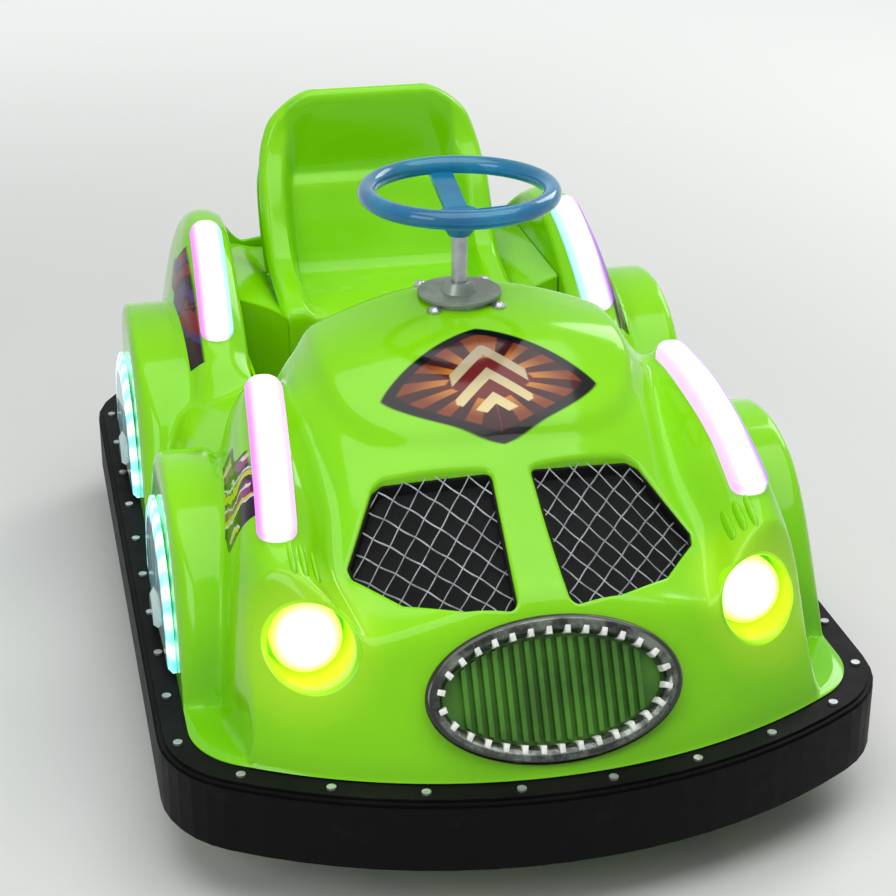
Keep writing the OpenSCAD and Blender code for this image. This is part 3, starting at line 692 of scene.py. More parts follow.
LIME = colour("86d806")
LIME_DEEP = colour("68bc04")


def body_colour(place):
    """Gelcoat: clouds of two limes, its own uneven tone, and painted shade that makes it deeper towards
    the rubber ring.
    """
    z = place.parts()[2]
    # painted shade: the lowest part of the skin, near the rubber ring, is mixed towards the deeper lime
    shade = place.noise(3.0, 3.0).step(0.35, 0.7) * 0.35 + z.step(0.30, 0.185) * 0.3
    return shade.mix(LIME, LIME_DEEP)


def body_gloss(place):
    """Polish, dulled in scuffs, with the faint print of the glass mat."""
    scuff = place.noise(34.0, 6.0, 0.7).step(0.60, 0.74)
    return {"Roughness": scuff * 0.12 + 0.12, "Normal": place.bump(place.noise(260.0, 2.0), 0.02, 0.002)}


# the badge's middle, half length and half width
BADGE_Y = -0.303
BADGE_L = 0.086
BADGE_W = 0.150


def badge(place, paint):
    """Generic hood badge: black lozenge, dark red field, gold rays and silver chevrons."""
    x, y, z = place.parts()
    along = (y - BADGE_Y) / BADGE_L
    across = abs(x) / BADGE_W
    size = across**1.25 + abs(along) ** 1.25
    turn = x.math("ARCTAN2", along, across)
    ray = (turn * 14.0).sine().step(-0.2, 0.2)
    field = size.step(0.55, 0.2).mix(colour("38080a"), colour("6a120c"))
    gold = size.step(0.75, 0.2).mix(colour("7a3208"), colour("c8822a"))
    inner = (ray * size.step(0.30, 0.34)).mix(field, gold)
    fold = (along * 0.9 + across * 1.3) * (5.0 * math.pi)
    bar = fold.sine().step(0.0, 0.2) * across.step(0.36, 0.34) * size.step(0.58, 0.54)
    inner = bar.mix(inner, y.step(-0.36, -0.25).mix(colour("d8c890"), colour("a89a80")))
    face = size.step(0.84, 0.80).mix(colour("040304"), inner)
    return (size.step(1.02, 0.97) * z.step(0.4, 0.42)).mix(paint, face)


# flashes on the wings' side walls: middle, half length, lean, colours, and the pod's place and radius
NOSE_FLASH = (-0.33, 0.425, 0.135, -0.35, ("1c0a20", "8c1c70", "c8c428", "d8d0dc"), POD_F, POD_R)
TAIL_FLASH = (0.29, 0.47, 0.150, 0.25, ("2a0c10", "7a1420", "4a2466", "1a1216"), POD_B, POD_R_REAR)


def shards(place, paint, flash):
    """Generic slanted flashes on the wing's side wall: bands of colour in a dark, pointed field."""
    x, y, z = place.parts()
    middle_y, middle_z, length, lean, codes, pod_y, pod_r = flash
    square = (pod_r * MM) ** 2 - (y - pod_y * MM) ** 2
    pod_z = square.math("MAXIMUM", square, 0.0) ** 0.5 + POD_Z * MM
    pod_z = pod_z - (POD_IN * MM - abs(x)) ** 2 * 30.0
    along = (y - middle_y) / length
    up = (z - middle_z - (y - middle_y) * lean) / 0.075
    jag = (along * 9.0).sine() * 0.22
    size = abs(along) ** 1.4 + abs(up + jag) ** 1.2
    wall = abs(x).step(0.330, 0.336) * abs(x).step(0.380, 0.377) * (z - pod_z).step(0.009, 0.011)
    band = (along * 1.9 + up * 1.5 + place.noise(16.0, 3.0) * 2.2) * 3.1
    inner = colour(codes[0])
    stripes = ((1.0, 0.0, -0.1, 0.1), (1.6, 1.0, 0.62, 0.7), (2.3, 2.0, 0.86, 0.9))
    for (pace, shift, low, high), code in zip(stripes, codes[1:]):
        inner = (band * pace + shift).sine().step(low, high).mix(inner, colour(code))
    face = size.step(0.86, 0.80).mix(colour("0d0a10"), inner)
    return (size.step(1.02, 0.98) * wall).mix(paint, face)


def from_lamp(place):
    """Distance from the middle of the glow that the nearer headlamp throws on the skin."""
    x, y, z = place.parts()
    return ((abs(x) - 0.292) ** 2 + (y + 0.552) ** 2 + (z - 0.318) ** 2) ** 0.5


def nose_finish(place):
    # painted light: the glow of the headlamps on the skin, a paler yellow-lime mixed into the paint near
    # each lamp
    near = from_lamp(place).step(0.125, 0.055)
    paint = badge(place, (near * 0.45).mix(body_colour(place), colour("c4f030")))
    return {"Base Color": shards(place, paint, NOSE_FLASH), **body_gloss(place)}


def tail_finish(place):
    return {"Base Color": shards(place, body_colour(place), TAIL_FLASH), **body_gloss(place)}


def plain_finish(place):
    return {"Base Color": body_colour(place), **body_gloss(place)}


GELCOAT = {"Coat Weight": 0.15, "Coat Roughness": 0.03, "Specular IOR Level": 0.22}
nose_paint = material("nose_paint", GELCOAT, nose_finish)
tail_paint = material("tail_paint", GELCOAT, tail_finish)
body_paint = material("body_paint", GELCOAT, plain_finish)

piece("nose_shell", *shell_mesh(True), nose_paint, "body_paint", stands_for=["front_body"])
piece("tail_shell", *shell_mesh(False), tail_paint, "body_paint", stands_for=["rear_body"])


# Turned-in edges of the mouldings round the cockpit, the hood windows and the lamp pockets. The
# gelcoat runs over a small radius and down a wall that hides the laminate's edge.
def rolled_edge(line, out, low):
    """Closed strip round an outline in plan: from the skin over a radius and down to low."""
    turn = np.linspace(0, math.pi / 2, 7)
    gap = LIP_R * (1 - np.sin(turn))
    fall = LIP_R * (1 - np.cos(turn))
    px = line[:, :1] + out[:, :1] * gap
    py = line[:, 1:] + out[:, 1:] * gap
    top = height(px, py) - fall
    base = np.minimum(low, top[:, -1] - 1)[:, None]
    outer = line + out * 3.0
    px = np.concatenate([px, line[:, :1], outer[:, :1], px[:, :1]], 1)
    py = np.concatenate([py, line[:, 1:], outer[:, 1:], py[:, :1]], 1)
    top = np.concatenate([top, base, base, top[:, :1] - SHEET], 1)
    return loft(np.stack([px, py, top], -1), ring=True)


# lower end of the edge beside the seat and under the dash
EDGE_Z = 398.0
DASH_Z = 560.0
low = np.where((abs(opening_line[:, 0]) < 200) & (opening_line[:, 1] < 0), DASH_Z, EDGE_Z)
edge = rolled_edge(opening_line, opening_out, low)
piece("cockpit_edge", *edge, body_paint, "body_paint", stands_for=["front_body", "rear_body"])
# plane of the window trays: height at the car's middle, rise backwards and fall outwards
WINDOW_Z = 723.0
WINDOW_RISE = 0.564
WINDOW_FALL = 0.24
low = WINDOW_Z + WINDOW_RISE * window_line[:, 1] - WINDOW_FALL * window_line[:, 0] - 16
edge = rolled_edge(window_line, window_out, low)
piece("window_edges", *both(edge), body_paint, "body_paint", stands_for=["front_body"])

# directions out of a lamp's face and up it
LAMP_OUT = np.array([0, -math.cos(LAMP_TILT), math.sin(LAMP_TILT)])
LAMP_UP = np.array([0, math.sin(LAMP_TILT), math.cos(LAMP_TILT)])


def on_skin(u, v):
    """Distance along a lamp's axis at which the line through (u, v) of its face meets the skin."""
    low = np.full(np.shape(u), -90.0)
    high = np.full(np.shape(u), 110.0)
    for _ in range(18):
        middle = (low + high) / 2
        y = LAMP[1] + v * LAMP_UP[1] + middle * LAMP_OUT[1]
        z = LAMP[2] + v * LAMP_UP[2] + middle * LAMP_OUT[2]
        above = z > height(LAMP[0] + u, y)
        high = np.where(above, middle, high)
        low = np.where(above, low, middle)
    return (low + high) / 2


q = circle(96)[:, None]
turn = np.linspace(0, math.pi / 2, 6)[None]
r = POCKET_D / 2 + LIP_R * (1 - np.sin(turn))
u = np.cos(q) * r
v = np.sin(q) * r
w = on_skin(u, v) - LIP_R * (1 - np.cos(turn))
back = w[:, -1:] * 0 - 30
u = np.concatenate([u, u[:, -1:], u[:, -1:] * 1.05, u[:, :1]], 1)
v = np.concatenate([v, v[:, -1:], v[:, -1:] * 1.05, v[:, :1]], 1)
w = np.concatenate([w, back, back, w[:, :1] - SHEET], 1)
ring = LAMP + np.array([1, 0, 0]) * u[..., None] + LAMP_UP * v[..., None] + LAMP_OUT * w[..., None]


def pocket_finish(place):
    """Lime gelcoat lit yellow-green by the lamp, brightest beside the lens."""
    lit = from_lamp(place).step(0.082, 0.045)
    return {
        "Base Color": body_colour(place),
        "Emission Color": lit.mix(colour("000000"), colour("c8f020")),
        **body_gloss(place),
    }


pocket_paint = material("pocket_paint", {**GELCOAT, "Emission Strength": 0.9}, pocket_finish)
piece("pocket_edges", *both(loft(ring, ring=True)), pocket_paint, "body_paint", stands_for=["front_body"])
finish_node(["headlamp_cups"], pocket_paint)
finish_node(["cockpit_liner"], body_paint)


# Three small ribs above each headlamp, solid with the nose: they are moulded with it, in the same
# lime gelcoat, and stand a few millimetres proud of it.

# middle, length, width and height
RIB_Y = -507.0
RIB_L = 54.0
RIB_W = 9.0
RIB_H = 6.0
rib_y = np.linspace(RIB_Y - RIB_L / 2, RIB_Y + RIB_L / 2, 15)[:, None]
rib_q = np.linspace(0, math.pi, 9)[None]
end = np.sqrt(np.clip(1 - (abs(rib_y - RIB_Y) / (RIB_L / 2)) ** 4, 0.0, 1))
ribs = []
for shift in (-19, -4, 11):
    rib_x = LAMP[0] + shift + RIB_W / 2 * np.cos(rib_q) * end
    rib_y = np.broadcast_to(rib_y, rib_x.shape)
    rib_z = height(rib_x, rib_y) + RIB_H * np.sin(rib_q) * end - 0.6
    ribs.append(loft(np.stack([rib_x, rib_y, rib_z], -1)))
piece("lamp_ribs", *both(join(*ribs)), body_paint, "body_paint")


# Headlamp lenses: domes moulded of clear polycarbonate with prism rings on the inside, pressed with
# a seal into the cups. An LED board sits behind them.
def lens_finish(place):
    """Pale yellow dome, white in its lit middle, with fine prism rings."""
    x, y, z = place.parts()
    far = ((abs(x) - LAMP[0] * MM) ** 2 + (z - LAMP[2] * MM) ** 2) ** 0.5
    glow = far.step(0.046, 0.030)
    return {
        "Base Color": glow.mix(colour("f0f49a"), colour("fffdf0")),
        "Emission Color": glow.mix(colour("e6f060"), colour("fffef0")),
        "Roughness": place.noise(60.0) * 0.1 + 0.08,
        "Normal": place.bump((far * 1400.0).sine(), 0.12, 0.001),
    }


lens_glass = material("lens_glass", {"Emission Strength": 1.0, "Coat Weight": 0.5}, lens_finish)
a = np.linspace(0, math.pi / 2, 13)
profile = [(0, 2.0)]
profile += [(LAMP_D / 2 * math.sin(t), -13.0 + 15.0 * math.cos(t)) for t in a[1:]]
profile += [(LAMP_D / 2, -34.0), (LAMP_D / 2 - 8, -36.0), (0, -36.0)]
lens = stood(turned(profile, 72), LAMP, LAMP_TILT)
piece("lamp_lenses", *both(lens), lens_glass, "lamp_white", stands_for=["headlamp_lenses"])


# Light bars: milky acrylic tubes over LED strips, sunk in the crests of the wings. The strips change
# colour at the edges: pink and violet outside, cyan towards the cockpit.
def across_bar(x, y, bar):
    """Place across a light bar: 0 at its middle line, 1 and -1 at its edges."""
    shift = (y - bar[0] * MM) * math.tan(math.radians(bar[4]))
    return (abs(x) - WING_X * MM + shift) / (BAR_W / 2 * MM)


def bar_finish(place):
    """White light along the middle, coloured towards both edges."""
    x, y, z = place.parts()
    rear = y.step(0.0, 0.02)
    across = across_bar(x, y, BAR_F) * (1.0 - rear) + across_bar(x, y, BAR_B) * rear
    outer = x.step(-0.01, 0.01).mix(colour("c86ae8"), colour("8038e8"))
    inner = (rear * 0.6).mix(colour("d8a0e8"), colour("30d0e0"))
    edge = across.step(-0.2, 0.2).mix(inner, outer)
    core = abs(across).step(0.95, 0.35)
    return {
        "Base Color": core.mix(edge, colour("8c8890")),
        "Emission Color": core.mix(edge, colour("f6f2fa")),
        "Roughness": place.noise(90.0) * 0.1 + 0.12,
        "Normal": place.bump(place.noise(200.0), 0.03, 0.001),
    }


bar_acrylic = material("bar_acrylic", {"Emission Strength": 1.05, "Coat Weight": 0.4}, bar_finish)
finish_node(["front_light_bars", "rear_light_bars"], bar_acrylic)


# Half discs on the pods in place of road wheels: clear acrylic edges lit by a ring of LEDs, cyan on
# the driver's right and orange-red on the left. They are screwed to the pods' flat sides.

# height of the discs' middle, in metres
DISC_Z = 0.200


def disc_finish(place):
    """Clear acrylic with a lit band and its dots near the edge, and pale spokes inside it."""
    x, y, z = place.parts()
    rear = (y - (POD_F + POD_B) / 2 * MM).step(-0.01, 0.01)
    middle = rear * ((POD_B - POD_F) * MM) + POD_F * MM
    far = ((y - middle) ** 2 + (z - DISC_Z) ** 2) ** 0.5
    turn = x.math("ARCTAN2", z - DISC_Z, y - middle)
    band = far.step(0.136, 0.144) * far.step(0.175, 0.170)
    dot = (turn * 26.0).sine().step(-1.0, 0.9) * band
    spoke = (turn * 10.0).sine().step(0.2, 0.5) * far.step(0.05, 0.06) * far.step(0.125, 0.115)
    tint = (x > 0.0).mix(colour("30d8f0"), colour("ff5a20"))
    light = (band * 0.7 + spoke * 0.12).mix(colour("000000"), tint)
    light = dot.mix(light, (x > 0.0).mix(colour("c8fbff"), colour("ffb890")))
    return {
        "Base Color": (dot * 0.5 + spoke * 0.4).mix(colour("b8d8d4"), tint),
        "Emission Color": light,
        "Roughness": place.noise(60.0) * 0.15 + 0.1,
        "Normal": place.bump(place.noise(150.0), 0.05, 0.001),
    }


disc_acrylic = material("disc_acrylic", {"Emission Strength": 1.6, "Coat Weight": 0.5}, disc_finish)
finish_node(["front_wheel_discs", "rear_wheel_discs"], disc_acrylic)


# Wire mesh of the hood windows: thin galvanized wires woven on the slant, bent along the hood and
# clamped to the shell from below. A black moulded tray closes each window behind the mesh; its
# near-black colour is partly painted shade, the darkness inside the windows.

# distance and slant of the wires, their depth under the skin and their radius
MESH_STEP = 25.0
MESH_SLANT = math.radians(48)
MESH_DEPTH = 12.0
WIRE_R = 0.85
wires = []
side = np.roll(window_line, -1, axis=0) - window_line
outward = np.stack([side[:, 1], -side[:, 0]], 1)
outward *= np.sign((outward * window_out).sum(1))[:, None]
for slant in (-1, 1):
    way = np.array([math.cos(MESH_SLANT), slant * math.sin(MESH_SLANT)])
    across = np.array([-way[1], way[0]])
    for k in range(-9, 10):
        start = np.array([130, -490]) + across * (k + 0.25 * slant) * MESH_STEP
        depth = ((start - window_line) * outward).sum(1)
        speed = outward @ way
        enter = np.where(speed < -1e-6, -depth / np.minimum(speed, -1e-6), -1e6).max()
        leave = np.where(speed > 1e-6, -depth / np.maximum(speed, 1e-6), 1e6).min()
        # a wire across a corner that is too short to be there
        if leave - enter < 12:
            continue
        t = np.linspace(enter - 0.5, leave + 0.5, 48)[:, None]
        q = circle(6)[None]
        px = start[0] + way[0] * t + across[0] * WIRE_R * np.cos(q)
        py = start[1] + way[1] * t + across[1] * WIRE_R * np.cos(q)
        weave = slant * np.sin(math.pi * t / MESH_STEP + math.pi * k)
        pz = height(px, py) - MESH_DEPTH + weave + WIRE_R * np.sin(q)
        wires.append(loft(np.stack([px, py, pz], -1)))
mesh_wire = finish("mesh_wire", "9aa0a4", "70767a", 40.0, 0.45, 0.1, 600.0, Metallic=0.3)
left = join(*wires)
piece("mesh_left", *left, mesh_wire, "mesh_wire", stands_for=["vent_mesh_left"])
piece("mesh_right", *mirrored(left), mesh_wire, "mesh_wire", stands_for=["vent_mesh_right"])
# near-black tray: its own black together with painted shade for the dark inside the windows
tray_black_painted_shade = finish("tray_black_painted_shade", "010102", "050506", 20.0, 0.75, 0.1, Specular_IOR_Level=0.2)
finish_node(["vent_trays"], tray_black_painted_shade)


# Grille: oval ring of dark plated plastic with painted shade in black round its edge, bright studs
# pressed in round its inner wall, and moulded green slats behind. The ring is screwed to the nose from
# inside.
def chrome_finish(place):
    """Dark plating in clouds, with painted shade: black round the oval's edge, where the ring meets the
    nose.
    """
    x, y, z = place.parts()
    u, v = in_plane(x, y, z, GRILLE * MM, GRILLE_TILT)
    u = u / (GRILLE_W / 2 * MM)
    v = v / (GRILLE_H / 2 * MM)
    size = (u * u + v * v) ** 0.5
    # painted shade: black round the oval's edge, where the ring meets the nose
    edge = size.step(0.93, 0.96)
    sheen = place.noise(26.0, 5.0, 0.7).step(0.35, 0.65)
    metal = sheen.mix(colour("2c302c"), colour("7c847a"))
    return {
        "Base Color": edge.mix(metal, colour("070808")),
        "Metallic": 0.85 - edge * 0.85,
        "Roughness": place.noise(50.0) * 0.15 + 0.14,
        "Normal": place.bump(place.noise(120.0), 0.05, 0.001),
    }


dark_chrome = material("dark_chrome", {"Coat Weight": 0.3}, chrome_finish)
# section of the ring: inset from the oval's edge, height over the shell
RING = np.array([
    [8.5, -18], [1.0, -2], [0.3, 3], [1.5, 6], [5, 9], [10, 9.6],
    [15, 8], [20, 4], [23, -1], [24, -6], [24, -18],
])
inset = RING[:, 0]
q = circle(120)[:, None]
oval_x = (GRILLE_W / 2 - inset) * np.cos(q)
oval_y = (GRILLE_H / 2 - inset) * np.sin(q)
ring = np.stack([oval_x, oval_y, np.broadcast_to(RING[:, 1], oval_x.shape)], -1)
bezel = stood(loft(ring, ring=True), GRILLE, GRILLE_TILT)
piece("grille_bezel", *bezel, dark_chrome, "bright_trim", stands_for=["grille_ring"])
# studs stand at even distances along an oval inside the ring
STUDS = 30
STUD_INSET = 19
q = np.linspace(0, 2 * math.pi, 721)
a = GRILLE_W / 2 - STUD_INSET
b = GRILLE_H / 2 - STUD_INSET
length = np.concatenate([[0], np.cumsum(np.hypot(np.diff(a * np.cos(q)), np.diff(b * np.sin(q))))])
q = np.interp((np.arange(STUDS) + 0.5) / STUDS * length[-1], length, q)
# a stud's outline across and along the wall, and its scale and height up to the rounded head
shape = np.array([[-6, -4], [6, -4], [6, 4], [-6, 4]], float)
layers = [(1.0, -14.0), (1.0, 6.0), (0.86, 8.0), (0.55, 8.8)]
studs = []
for angle in q:
    turn = math.atan2(a * math.sin(angle), b * math.cos(angle))
    spin = np.array([[math.cos(turn), math.sin(turn)], [-math.sin(turn), math.cos(turn)]])
    foot = [a * math.cos(angle), b * math.sin(angle)]
    rows = [np.column_stack([foot + scale * shape @ spin, np.full(4, h)]) for scale, h in layers]
    studs.append(loft(np.array(rows)))
stud_bright = finish("stud_bright", "f4f6f0", "d8dcd4", 60.0, 0.15, 0.05, 300.0, Coat_Weight=0.6)
piece("grille_studs", *stood(join(*studs), GRILLE, GRILLE_TILT), stud_bright, "bright_trim")
slat_paint = finish("slat_paint", "46821a", "30600c", 12.0, 0.4, 0.05)
finish_node(["grille_slats"], slat_paint)


# Seat: one blow-moulded bucket of lime plastic. The pan turns up into a slanted lower back, a step
# higher up sinks the panel behind the shoulders, and rounded bolsters run up both sides.

# width of the seat, and height of its pan
SEAT_W = 386.0
PAN_Z = 432.0
# the seat's middle and its bolsters as lines from the foot of the front skirt over pan, back and
# top edge to the foot behind: place along the car, height over the pan
MIDDLE = np.array([
    [296, -300], [296, -150], [296, -14], [298, -4], [306, 0], [400, 0], [462, 1], [484, 12],
    [500, 44], [516, 84], [532, 122], [540, 148], [553, 158], [557, 176], [559, 205], [562, 245],
    [565, 278], [569, 291], [575, 296], [580, 290], [580, 270], [570, 200], [560, 150], [522, 60],
    [486, -6],
])
BOLSTER = np.array([
    [296, -300], [296, -150], [296, -14], [298, 2], [306, 12], [340, 24], [400, 35], [440, 50],
    [466, 80], [488, 118], [510, 156], [531, 180], [545, 200], [554, 222], [559, 242], [562, 262],
    [565, 280], [569, 291], [575, 296], [580, 290], [581, 270], [580, 200], [576, 150], [550, 60],
    [506, -8],
])
BOLSTER_W = 42.0
# half width as a share of the pan's, at heights over the pan
WIDTH = np.array([[-30, 0.975], [60, 1], [140, 1], [178, 0.965], [226, 0.875], [260, 0.81]])
u = np.linspace(0, len(MIDDLE) - 1, 231)


def eased(values, reach, width):
    """Values smoothed by a Gauss window."""
    window = np.exp(-0.5 * (np.arange(-reach, reach + 1) / width) ** 2)
    return np.convolve(np.pad(values, reach, "edge"), window / window.sum(), "valid")


def smooth_line(keys):
    """A line through keys, its corners eased."""
    line = [np.interp(u, np.arange(len(keys)), keys[:, k]) for k in (0, 1)]
    return np.stack([eased(values, 9, 4.2) for values in line], 1)


inner = smooth_line(MIDDLE)
outer = smooth_line(BOLSTER)
h = (inner[:, 1] + outer[:, 1]) / 2
# rounding of the back's top corners
TOP_R = 74.0
crown = h.max() - TOP_R
levels = np.arange(-320, 400, 1.0)
width = eased(np.interp(levels, WIDTH[:, 0], WIDTH[:, 1] * SEAT_W / 2), 40, 16)
arc = TOP_R - np.sqrt(np.maximum(TOP_R**2 - np.maximum(h - crown, 0) ** 2, 0))
half = np.interp(h, levels, width) - arc
t = np.linspace(-1, 1, 121)
share = smooth((abs(t)[None] * half[:, None] - half[:, None] + BOLSTER_W + 11) / 22)
line = inner[:, None] * (1 - share[..., None]) + outer[:, None] * share[..., None]
# the sides turn in at their edge, square to the line, but nowhere downwards near the top
along = unit(np.gradient(line, axis=0))
inward = np.stack([along[..., 1], -along[..., 0]], -1)
inward[..., 1] *= (1 - smooth((u - 13) / 2))[:, None]
edge = np.maximum(abs(t) - 0.93, 0) / 0.07
sink = 14.0 * (1 - np.sqrt(np.maximum(1 - edge**2, 0)))
behind = smooth((u - 17.4) / 1.2)
line = line + inward * (sink[None] * (1 - behind)[:, None])[..., None]
seat_x = np.broadcast_to(t[None] * half[:, None], line.shape[:2])
seat = np.stack([seat_x, line[..., 0], PAN_Z + line[..., 1]], -1)


def seat_finish(place):
    """Lime plastic with painted shade, a deeper lime in the panel behind the shoulders, and dull wear on
    the pan.
    """
    x, y, z = place.parts()
    paint = body_colour(place)
    # painted shade: the front face of the sunken panel behind the shoulders is mixed towards a deeper
    # lime
    facing = (y - z * 0.085).step(0.5088, 0.5078)
    panel_painted_shade = z.step(0.585, 0.60) * abs(x).step(0.150, 0.135) * z.step(0.725, 0.715) * facing
    paint = (panel_painted_shade * 0.75).mix(paint, colour("6cc006"))
    wear = place.noise(18.0, 6.0, 0.7).step(0.5, 0.7) * z.step(0.47, 0.44)
    return {
        "Base Color": (wear * 0.25).mix(paint, colour("a8c860")),
        "Roughness": wear * 0.2 + 0.14,
        "Normal": place.bump(place.noise(240.0, 2.0), 0.02, 0.002),
    }


seat_paint = material("seat_paint", GELCOAT, seat_finish)


def plate(grid, turn=1):
    """A sheet of plastic over a grid of points, thickened to the side that turn says."""
    return thicken(grid.reshape(-1, 3), halves(grid_faces(*grid.shape[:2]))[:, ::turn])


def deck_z(rise):
    """Height of the deck round the seat: low beside the pan and high at the cockpit's edge."""
    return PAN_Z - 6 + 46 * rise**0.55


# the deck reaches from the seat's foot to the cockpit's rear edge and ends round its corners
DECK_FRONT = 297.0
DECK_REAR = 605.0
DECK_IN = 186.0
DECK_OUT = 261.0
DECK_BAND = 74.0
CORNER_X = 192.0
CORNER_Y = 542.0
deck_y = np.linspace(DECK_FRONT, DECK_REAR, 60)[:, None]
corner = CORNER_X + np.sqrt(np.maximum(69.7**2 - (deck_y - CORNER_Y) ** 2, 0))
deck_x = np.linspace(-1, 1, 61)[None] * (np.where(deck_y > CORNER_Y, corner, DECK_OUT) - 0.6)
side = np.clip((abs(deck_x) - DECK_IN) / DECK_BAND, 0, 1)
back = np.clip((deck_y - DECK_REAR + 75) / 75, 0, 1)
rise = np.clip((side**3 + (0.35 * back) ** 3) ** (1 / 3), 0, 1)
deck = np.stack([deck_x, deck_y + 0 * deck_x, deck_z(rise)], -1)
# the skirt closes the deck's front beside the seat
s = np.linspace(0, 1, 13)
skirt_z = np.stack([np.full(13, 130.0), deck_z(s) - 1], 0)
skirt_x = np.broadcast_to(DECK_IN + s * DECK_BAND, (2, 13))
skirt = np.stack([skirt_x, np.full((2, 13), DECK_FRONT + 0.5), skirt_z], -1)
parts = join(plate(seat, -1), plate(deck), both(plate(skirt, -1)))
piece("bucket_seat", *parts, seat_paint, "body_paint", stands_for=["seat_shell"])


# Steering wheel: glossy blue rim and three broad spokes moulded in one on a steel column. The
# column turns in a flange that four cap screws hold on the cowl.
wheel_blue = finish(
    "wheel_blue", "2496c8", "1a7cae", 8.0, 0.16, 0.03, 200.0,
    Coat_Weight=0.6, Transmission_Weight=0.45, IOR=1.25,
)
finish_node(["steering_wheel"], wheel_blue)
column_steel = finish("column_steel", "c4c7ca", "9a9ea2", 14.0, 0.3, 0.05, 500.0, Metallic=0.85)
finish_node(["steering_column"], column_steel)
flange_grey = finish("flange_grey", "8f9a8c", "727c70", 16.0, 0.38, 0.08, 400.0, Metallic=0.5)
finish_node(["column_flange"], flange_grey)
bolt = turned([(0, 7), (4, 6.6), (7, 4), (8, 2.5), (10.5, 2.5), (10.5, 0), (9, -3), (0, -3)], 24)
# the screws' distance from the column
BOLT_R = 65
angle = circle(4) + math.pi / 4
bolt_x = BOLT_R * np.cos(angle)
bolt_y = COLUMN_Y + BOLT_R * np.sin(angle)
places = np.column_stack([bolt_x, bolt_y, height(bolt_x, bolt_y)])
flange_bolts = [(bolt[0] + place, bolt[1]) for place in places]
piece("flange_bolts", *join(*flange_bolts), column_steel, "bare_steel")


# Rubber ring round the car: an extruded hollow bumper with a lip over the edge of the shells, bent
# round the frame and bolted through its flange with plated screws.
def rubber_finish(place):
    """Black rubber, greyed by scrapes on its outer face and by dust on its top."""
    x, y, z = place.parts()
    scrape = place.noise(22.0, 6.0, 0.75).step(0.56, 0.7) * z.step(0.10, 0.14) * z.step(0.186, 0.17)
    dust = z.step(0.176, 0.186) * place.noise(9.0, 5.0).step(0.3, 0.8)
    shade = (scrape * 0.4 + dust * 0.5).mix(colour("050506"), colour("1c1a1a"))
    return {
        "Base Color": shade,
        "Roughness": place.noise(40.0, 5.0) * 0.25 + 0.42,
        "Normal": place.bump(place.noise(180.0, 4.0), 0.15, 0.001),
    }


ring_rubber = material("ring_rubber", {"Specular IOR Level": 0.1}, rubber_finish)
finish_node(["bumper_ring"], ring_rubber)
zinc = finish("zinc", "d8dadc", "a8acb0", 60.0, 0.35, 0.1, 500.0, Metallic=0.8)
finish_node(["bumper_bolts"], zinc)


# Underside and inside: welded and painted frame, black moulded floor and covers, cast hubs with
# solid rubber tyres, drive unit, batteries and small gear.
UNDERSIDE = {
    ("frame_black", "1d1f21", "2e2b28", 10.0, 0.55, 0.15, 220.0, 0.2):
        ["chassis_frame", "drive_fork", "control_box", "foot_pedal"],
    ("tub_black", "141517", "222325", 16.0, 0.62, 0.3, 260.0, 0.0):
        ["floor_pan", "drive_cover", "seat_box", "floor_lamp"],
    ("bare_steel", "b4b7ba", "8c8f93", 30.0, 0.35, 0.08, 500.0, 0.85):
        ["drive_axle", "rear_axle"],
    ("tyre_rubber", "131314", "262423", 14.0, 0.7, 0.3, 300.0, 0.0):
        ["drive_tyre", "rear_tyre_left", "rear_tyre_right"],
    ("hub_cast", "8b8f94", "6a6e73", 26.0, 0.45, 0.2, 350.0, 0.7):
        ["drive_hub", "rear_hub_left", "rear_hub_right", "drive_motor"],
    ("battery_case", "1b1d22", "2a2d33", 12.0, 0.5, 0.2, 300.0, 0.0):
        ["batteries"],
}
for (*values, metal), names in UNDERSIDE.items():
    finish_node(names, finish(*values, Metallic=metal))


# Ground, light and camera. The floor is plain and pale, and three large soft lamps hang over it.
# None of this belongs to the car.
def camera_sees(tree):
    """1 for what the camera sees straight, mirrored or through glass."""
    rays = Wire(tree).add("LightPath").socket.node
    kinds = ("Is Camera Ray", "Is Glossy Ray", "Is Transmission Ray")
    seen, mirror, through = (Wire(tree, rays.outputs[kind]) for kind in kinds)
    return seen.math("MAXIMUM", seen.math("MAXIMUM", seen, mirror), through)


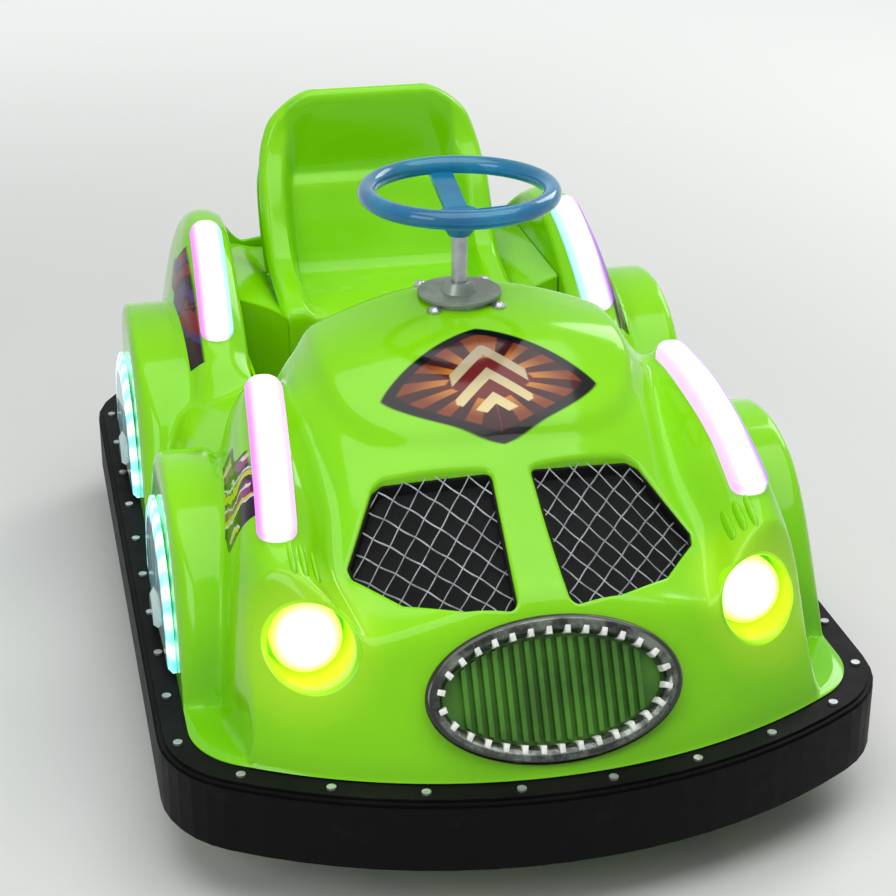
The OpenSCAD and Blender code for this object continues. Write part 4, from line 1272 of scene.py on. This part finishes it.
def floor_finish(place):
    """Pale floor; what the camera sees of it far from the car is kept as pale as beside it."""
    x, y, z = place.parts()
    far = (x * x + y * y) ** 0.5
    lit = camera_sees(place.tree) * far.step(0.9, 5.0)
    return {
        "Base Color": place.noise(0.7, 3.0).mix(colour("d6d7d5"), colour("dcdddb")),
        "Emission Color": lit.mix(colour("000000"), colour("c2c3c2")),
    }


floor_material = material("floor_pale", {"Roughness": 0.8, "Emission Strength": 1.0}, floor_finish)
bpy.ops.mesh.primitive_plane_add(size=60, location=(0, 0, 0))
ground = bpy.context.object
ground.name = "ground"
ground.data.materials.append(floor_material)

world = bpy.data.worlds.new("pale_studio")
bpy.context.scene.world = world
world.use_nodes = True
background = world.node_tree.nodes["Background"]
strength = camera_sees(world.node_tree) * 0.55 + 0.35
world.node_tree.links.new(strength.socket, background.inputs["Strength"])
background.inputs["Color"].default_value = colour("e9ebec")


def lamp(name, place, target, size, power):
    """A white rectangular area lamp, aimed at a target."""
    data = bpy.data.lights.new(name, "AREA")
    data.shape = "RECTANGLE"
    data.size, data.size_y = size
    data.energy = power
    made = bpy.data.objects.new(name, data)
    bpy.context.scene.collection.objects.link(made)
    made.location = place
    made.rotation_euler = (Vector(target) - Vector(place)).to_track_quat("-Z", "Y").to_euler()


lamp("ceiling", (0.2, -0.8, 3.6), (0, 0, 0.3), (4.4, 3.2), 112)
lamp("left_front", (-3.0, -2.2, 2.2), (0, 0, 0.4), (1.8, 1.8), 38)
lamp("right_rear", (2.6, 2.0, 2.6), (0, 0, 0.4), (1.6, 1.6), 40)

camera_data = bpy.data.cameras.new("camera")
camera = bpy.data.objects.new("camera", camera_data)
bpy.context.scene.collection.objects.link(camera)
bpy.context.scene.camera = camera
camera.location = (-0.620, -2.817, 1.629)
target = Vector((-0.005, -0.07, 0.35))
camera.rotation_euler = (target - camera.location).to_track_quat("-Z", "Y").to_euler()
camera_data.sensor_width = 36
camera_data.lens = 84
bpy.context.scene.view_settings.view_transform = "Standard"
